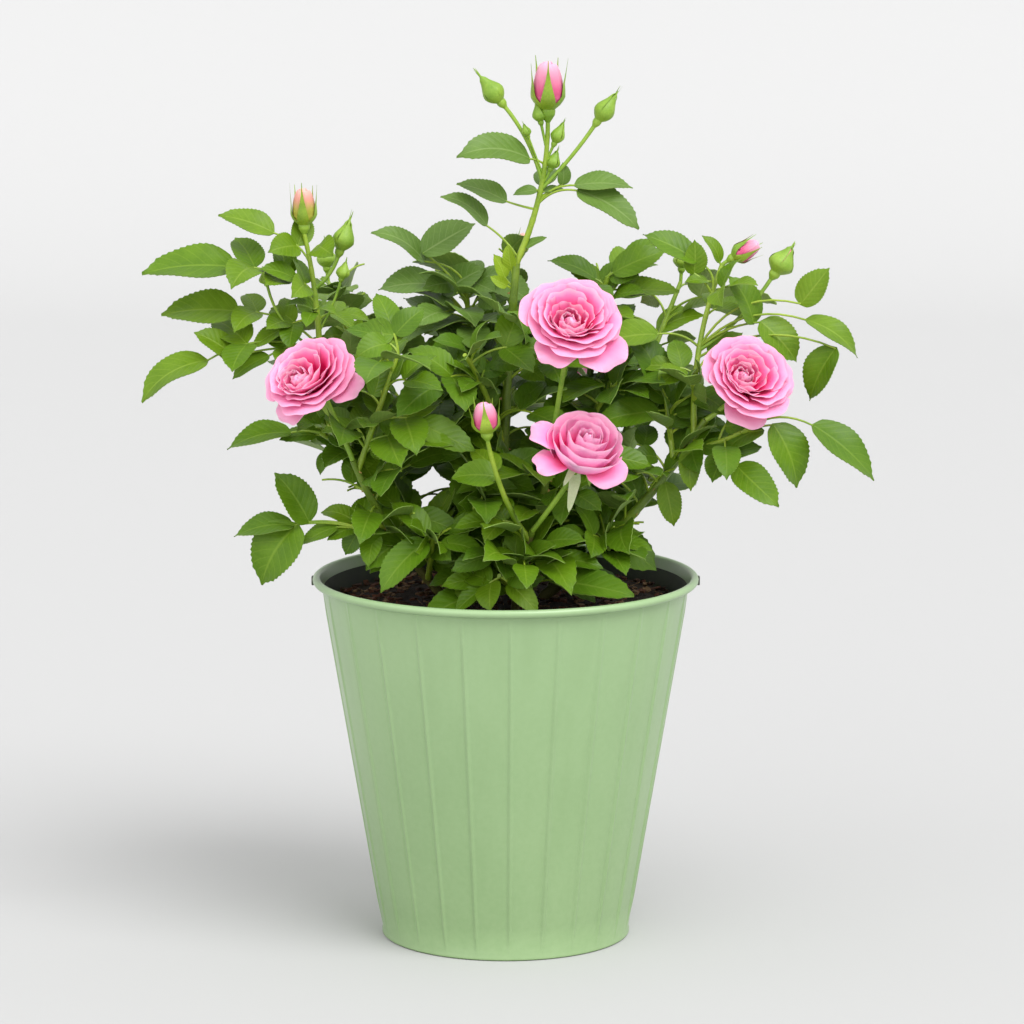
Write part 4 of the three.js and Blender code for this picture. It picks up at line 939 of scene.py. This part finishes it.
for order, (name, shoot) in enumerate(shoots.items()):
    roll = makeDice(3100 + 19 * order)
    for at, heading, rise, stalk, length, width, opening, lean in shoot["buds"]:
        root = shootPaths[name].point(at)
        top = root + direction(heading, rise) * stalk
        line = Arc(root, top, direction(heading, rise + 90) * stalk * tan(radians(lean)) / 4)
        axes, thick = frameOn(line.way(1.0)), min(bud["stalk"], 0.1 * width)
        budParts.append(bentTube(twigTube, line, lambda t, a: thick + 0.3 * np.maximum(0, t - 0.7)))
        foot = top - axes[2] * length * 0.04
        hip, waist = [(z / bud["hipTop"], r) for z, r in bud["hip"]], bud["waist"]
        budParts.append(latheAlong(roundTube, foot, axes[2], length * bud["hipTop"], hip, width, 0))
        isOpen = opening > 0.45
        heights, radii = np.array(bud["open" if isOpen else "closed"]).T
        sepalWidths = bud["openSepal" if isOpen else "closedSepal"]
        colour = 2 if opening > 0.65 else 3 if opening > 0.3 else 0
        body = [(z, np.interp(waist + z * (heights[-1] - waist), heights, radii)) for z in np.linspace(0, 1, 9)]
        seat, tall = foot + axes[2] * length * waist, length * (heights[-1] - waist - 0.01)
        budParts.append(latheAlong(roundTube, seat, axes[2], tall, body, width * (0.84 if isOpen else 0.93), colour))
        for index in range(bud["petals"] if isOpen else 0):
            turn, high = radians(100 * index + 30 * roll()), 1 - 0.015 * index
            roll()  # a spare draw

            def shape(u, s):
                z = 0.26 + (high - 0.26) * u * (1 - 0.1 * abs(s) ** 3)
                r = width * (np.interp(z, heights, radii) - 0.035 + 0.01 * index + 0.02 * s * u + 0.012 * (u > 0.9))
                a = turn + s * 1.15 * (0.6 + 0.4 * sin(pi * min(u, 0.5)))
                return r * cos(a), r * sin(a), z * length

            budParts.append(onFrame(toArrays(bentSheet(8, 8, shape, 0.35)), axes, foot, colour))
        for index in range(bud["sepals"]):
            turn = radians(72 * index - 96 + 12 * roll())
            out, tip = 0.02 + 0.1 * roll() * opening, 0.9 + 0.2 * roll()
            clasp, stretch, proud = (0.62, 1.06, 0.05) if isOpen else (0.8, 1.1, 0.035)

            def shape(u, s):
                z = 0.22 + (tip - 0.22) * u * stretch
                free = max(0, z - clasp)
                flare = out * 3 if isOpen else out * 2 - 0.45 * (free < 0.12)
                r = width * (np.interp(min(z, clasp), heights, radii) + proud) + width * free * flare
                if not isOpen:
                    r = max(r, 0.25 + width * out * free * 4) if z < 0.9 else width * (0.05 + out * (z - 0.8))
                wide = np.interp(u, bud["sepalAt"], sepalWidths) * width * 0.5
                a = turn + s * min(0.72, wide / max(r, 0.6))
                return r * cos(a), r * sin(a), z * length

            slot = 4 if isOpen and index % 2 == 0 else 0
            budParts.append(onFrame(toArrays(bentSheet(12, 4, shape, 0.35)), axes, foot, slot))
makePiece("buds", budParts, [sepalGreen, sepalPale, budPink, budPeach, twigGreen], (), 60)
makePiece("twigs", twigParts, [twigGreen], (), 60)

# the pot: one wall profile turned round its axis, with thin upright beads pressed out of the wall

pot = {
    "height": 237, "rim": 125, "wallTop": 118.8, "wallFoot": 80.1, "foot": 79.6, "chime": 80.8, "chimeHeight": 3.2,
    "wall": 1.1, "bead": 2.55, "collar": 6.4, "ribs": 24, "ribWidth": 3.0, "ribHeight": 0.9, "groove": 0.35,
    "ribTurn": -88.2, "stepsPerRib": 36, "flat": 0.35, "lug": (1.8, 4.5, 6.0),
    "lugAt": (125.2, 6, 232),
}
wallEnd = pot["height"] - pot["collar"]  # the wall's top, under the rolled rim


def wallAt(z):  # radius of the wall's outside
    foot = pot["chimeHeight"]
    return between((pot["wallFoot"], pot["wallTop"]), (z - foot) / (wallEnd - foot))


def potProfile():
    wall, top, foot, bead = pot["wall"], pot["height"], pot["foot"], pot["bead"]
    points = [(0.0, 0.6), (foot - 3, 0.6), (foot - 1.5, 0.0), (foot, 0.0), (pot["chime"], 0.8)]
    points += [(pot["chime"] + 0.1, 2.2), (pot["wallFoot"] + 0.1, pot["chimeHeight"])]
    for step in range(1, 13):
        z = between((pot["chimeHeight"], wallEnd), step / 12)
        points.append((wallAt(z), z))
    for step in range(11):  # the rolled rim
        a = radians(-110 + 29 * step)
        points.append((pot["rim"] - bead + bead * cos(a), top - bead + bead * sin(a)))
    return points + [(pot["wallTop"] - wall, top - 7), (pot["wallFoot"] - wall, wall + 1), (0.0, wall + 1)]


bm = bmesh.new()
corners, edges = drawLine(bm, [(r, 0, z) for r, z in potProfile()])
steps = pot["ribs"] * pot["stepsPerRib"]
bmesh.ops.spin(bm, geom=corners + edges, cent=(0, 0, 0), axis=(0, 0, 1), angle=tau, steps=steps, use_merge=True)
bmesh.ops.remove_doubles(bm, verts=bm.verts[:], dist=0.001)
faceOut(bm)
pitch = tau / pot["ribs"]
for v in bm.verts:
    r, foot = hypot(v.co.x, v.co.y), pot["chimeHeight"]
    if abs(r - wallAt(v.co.z)) >= 0.3 or not foot - 0.1 < v.co.z < pot["height"] - 6:
        continue
    angle = atan2(v.co.y, v.co.x) - radians(pot["ribTurn"])
    local = (angle + pitch / 2) % pitch - pitch / 2
    fade = min(1, (v.co.z - foot) / 12, (wallEnd - v.co.z) / 6 + 0.25)
    crest = cos(min(1, abs(local) * r / (pot["ribWidth"] / 2)) * pi / 2)
    bead = pot["ribHeight"] * max(0, crest) * fade
    bead -= pot["groove"] * exp(-(((local * r + pot["ribWidth"] * 0.7) / 0.9) ** 2)) * fade
    flat = (cos(pitch / 2) / cos(pitch / 2 - abs(local)) - 1) * pot["flat"] * fade
    grown = r * (1 + flat) + bead
    v.co.x, v.co.y = v.co.x * grown / r, v.co.y * grown / r
potParts = [toArrays(bm)]
x, y, z = potParts[0]["co"][potParts[0]["tri"]].mean(1).T
# the inner wall and floor take a much darker green: painted shade inside the pot
inside = (wallAt(z) - np.hypot(x, y) > 0.7) & (z > 1.2) & (z < pot["height"] - 5)
potParts[0]["slot"] = np.where(inside, 1, 0)
for hand in (1, -1):  # the lugs for a carrying wire, folded over the rim
    bm = bmesh.new()
    bmesh.ops.create_cube(bm, size=1)
    bmesh.ops.scale(bm, verts=bm.verts[:], vec=pot["lug"])
    bmesh.ops.bevel(bm, geom=bm.edges[:], offset=0.7, affect="EDGES", segments=2, profile=0.5, material=-1)
    bmesh.ops.translate(bm, verts=bm.verts[:], vec=(hand * pot["lugAt"][0], *pot["lugAt"][1:]))
    lug = toArrays(bm)
    potParts.append(moved(lug, lug["co"], 2))

potPaint, tree, shader = newMaterial("pot_paint", 0.4, {"Coat Weight": 0.35, "Coat Roughness": 0.25})
tone = useGroup(tree, drift, Dark=srgb(126, 156, 104), Light=srgb(138, 166, 116), Scale=9.0, Fine=240.0)
place = objectPlace(tree)
# the paint turns lighter towards the top: painted light from above
lift = remap(tree, addNode(tree, "SeparateXYZ", {0: place}).outputs[2], 0.0, pot["height"] * mm, 0.0, 0.5)
paintLitFromAbove = mixColour(tree, lift, tone.outputs["Colour"], srgb(158, 188, 140))
stretched = addNode(tree, "Mapping", {0: place, "Scale": (60, 60, 3)}).outputs[0]
streaks = remap(tree, noiseNode(tree, stretched, 1.0), 0.5, 0.8, 0.0, 0.22)
tree.links.new(mixColour(tree, streaks, paintLitFromAbove, srgb(118, 148, 96)), shader.inputs["Base Color"])
addBump(tree, shader, noiseNode(tree, place, 500.0, 2.0), 0.05, 0.0006)
# a near-black green for the inside of the pot, painted shade
potInsidePaintedShade = stemMaterial("pot_inside_painted_shade", (26, 38, 14), (38, 52, 20), 0.6, 120.0)
lugMetal = stemMaterial("lug_metal", (64, 70, 56), (92, 98, 82), 0.45, 300.0)
makePiece("pot_body", potParts, [potPaint, potInsidePaintedShade, lugMetal], ["pot"], 50)

# the soil: a rough top over bark and fibre

soil = {
    "top": 223, "radius": 115.6, "foot": 78, "footHeight": 3, "rings": 26, "ringWidth": 4.3, "rough": 1.1,
    "lumps": ((0.09, 0, 1.4), (0.27, 9, 0.9), (0.6, 0, 0.5)),  # scale, shift and height of each
    "lowest": -2.4, "highest": 1.6, "edge": 100, "edgeFall": 3.0, "chips": 620, "fibres": 220,
}
bm = bmesh.new()
bmesh.ops.create_circle(bm, cap_ends=True, segments=72, radius=soil["radius"])
disc = bm.faces[:]
for ring in range(soil["rings"]):
    bmesh.ops.inset_region(bm, faces=disc, thickness=soil["ringWidth"], use_even_offset=True)
bmesh.ops.translate(bm, verts=bm.verts[:], vec=(0, 0, soil["top"] - 1.5))
for v in bm.verts:
    bumps = sum(noise.noise(v.co * scale + Vector((shift, 0, 0))) * high for scale, shift, high in soil["lumps"])
    past = max(0, (hypot(v.co.x, v.co.y) - soil["edge"]) / (soil["radius"] - soil["edge"]))
    v.co.z += max(soil["lowest"], min(soil["highest"], bumps * soil["rough"])) - soil["edgeFall"] * past**2
skirt = bmesh.ops.extrude_edge_only(bm, edges=[e for e in bm.edges if e.is_boundary])["geom"]
for v in skirt:
    if isinstance(v, bmesh.types.BMVert):
        v.co.z = soil["footHeight"]
        v.co.x *= soil["foot"] / soil["radius"]
        v.co.y *= soil["foot"] / soil["radius"]
bmesh.ops.holes_fill(bm, edges=[e for e in bm.edges if e.is_boundary], sides=0)
faceOut(bm)
soilParts = [toArrays(bm)]


def makeChip(kind):
    roll = makeDice(60 + kind)
    bm = bmesh.new()
    bmesh.ops.create_cube(bm, size=1)
    bmesh.ops.subdivide_edges(bm, edges=bm.edges[:], cuts=1, use_grid_fill=True)
    for v in bm.verts:
        stretch = (0.8 + 0.5 * roll(), 0.7 + 0.5 * roll(), 0.6 + 0.7 * roll())
        v.co = Vector([c * s for c, s in zip(v.co, stretch)])
    bmesh.ops.smooth_vert(bm, verts=bm.verts[:], factor=0.25, use_axis_x=True, use_axis_y=True, use_axis_z=True)
    return toArrays(bm)


chips, roll = [makeChip(kind) for kind in range(5)], makeDice(8)
for index in range(soil["chips"] + soil["fibres"]):
    far, turn = 111 * sqrt(roll()), tau * roll()
    height = soil["top"] - 1.2 - 2.6 * max(0, (far - 98) / 15) ** 2 + 1.2 * roll()
    axes = Matrix.Rotation(tau * roll(), 3, "Z")
    for around in "XY":
        axes = axes @ Matrix.Rotation(0.7 * (roll() - 0.5), 3, around)
    if index < soil["chips"]:
        size = (3 + 5 * roll() ** 2, 2 + 3 * roll() ** 2, 0.9 + 1.2 * roll())
    else:
        size = (7 + 9 * roll(), 0.45, 0.45)
    chip, slot = chips[index % 5], 1 + int(roll() * 3)
    co = (chip["co"] * np.array(size)) @ np.array(axes).T
    soilParts.append(moved(chip, co + np.array([far * cos(turn), far * sin(turn), height]), slot))


def soilMaterial(name, dark, light):
    material, tree, shader = newMaterial(name, 0.92)
    tone = useGroup(tree, drift, Dark=srgb(*dark), Light=srgb(*light), Scale=260.0, Fine=1400.0)
    tree.links.new(tone.outputs["Colour"], shader.inputs["Base Color"])
    addBump(tree, shader, tone.outputs["Mask"], 0.8, 0.0015)
    return material


soilMaterials = [
    soilMaterial("soil_peat", (22, 14, 9), (52, 36, 24)), soilMaterial("bark_dark", (40, 24, 15), (74, 46, 30)),
    soilMaterial("bark_red", (70, 38, 24), (112, 66, 44)), soilMaterial("bark_tan", (88, 66, 42), (134, 104, 72)),
]
makePiece("soil_top", soilParts, soilMaterials, ["soil"], 40)

# the studio: a pale floor that sweeps up into a backdrop, soft light, and the camera

studio = {"floor": 6.0, "sweep": 1.2, "wall": 5.0, "depth": 3.0, "shade": 0.465, "sky": 1.08}
bm = bmesh.new()
line = [(-studio["floor"], -studio["floor"], 0)]
for step in range(13):
    a = pi / 2 * step / 12
    line.append((-studio["floor"], studio["depth"] + studio["sweep"] * sin(a), studio["sweep"] * (1 - cos(a))))
line.append((-studio["floor"], studio["depth"] + studio["sweep"], studio["wall"]))
corners, edges = drawLine(bm, line)
wide = bmesh.ops.extrude_edge_only(bm, edges=edges)["geom"]
wide = [v for v in wide if isinstance(v, bmesh.types.BMVert)]
bmesh.ops.translate(bm, verts=wide, vec=(2 * studio["floor"], 0, 0))
faceOut(bm)
mesh = bpy.data.meshes.new("floor")
bm.to_mesh(mesh)
bm.free()
mesh.shade_smooth()
floor = addObject("floor", mesh)
floorPaint, tree, shader = newMaterial("floor_paint", 0.8)
shader.inputs["Base Color"].default_value = (*[studio["shade"]] * 3, 1)
mesh.materials.append(floorPaint)


def sunLight(name, heading, rise, strength, spread):
    light = bpy.data.lights.new(name, "SUN")
    light.energy, light.angle = strength, radians(spread)
    lamp = addObject(name, light)
    lamp.rotation_euler = Vector(direction(heading, rise)).to_track_quat("Z", "Y").to_euler()
    lamp.location = direction(heading, rise) * 2


sunLight("key_light", -52, 52, 2.4, 40)
sunLight("fill_light", -125, 30, 0.6, 60)
world = bpy.data.worlds.new("studio")
world.use_nodes = True
sky = world.node_tree.nodes["Background"].inputs
sky[0].default_value, sky[1].default_value = (1, 1, 1, 1), studio["sky"]
bpy.context.scene.world = world
bpy.context.scene.view_settings.view_transform = "Standard"

view = {"lens": 175.78, "target": (0.00411, 0, 0.2781), "distance": 3.233, "pitch": 9.8}
camera = bpy.data.cameras.new("camera")
camera.lens, camera.sensor_width = view["lens"], 36
camera.clip_start, camera.clip_end = 0.05, 50
cameraObject = addObject("camera", camera)
pitch = radians(view["pitch"])
back = Vector((0, -cos(pitch), sin(pitch)))
cameraObject.location = Vector(view["target"]) + back * view["distance"]
cameraObject.rotation_euler = (-back).to_track_quat("-Z", "Y").to_euler()
bpy.context.scene.camera = cameraObject

print("scene ready")
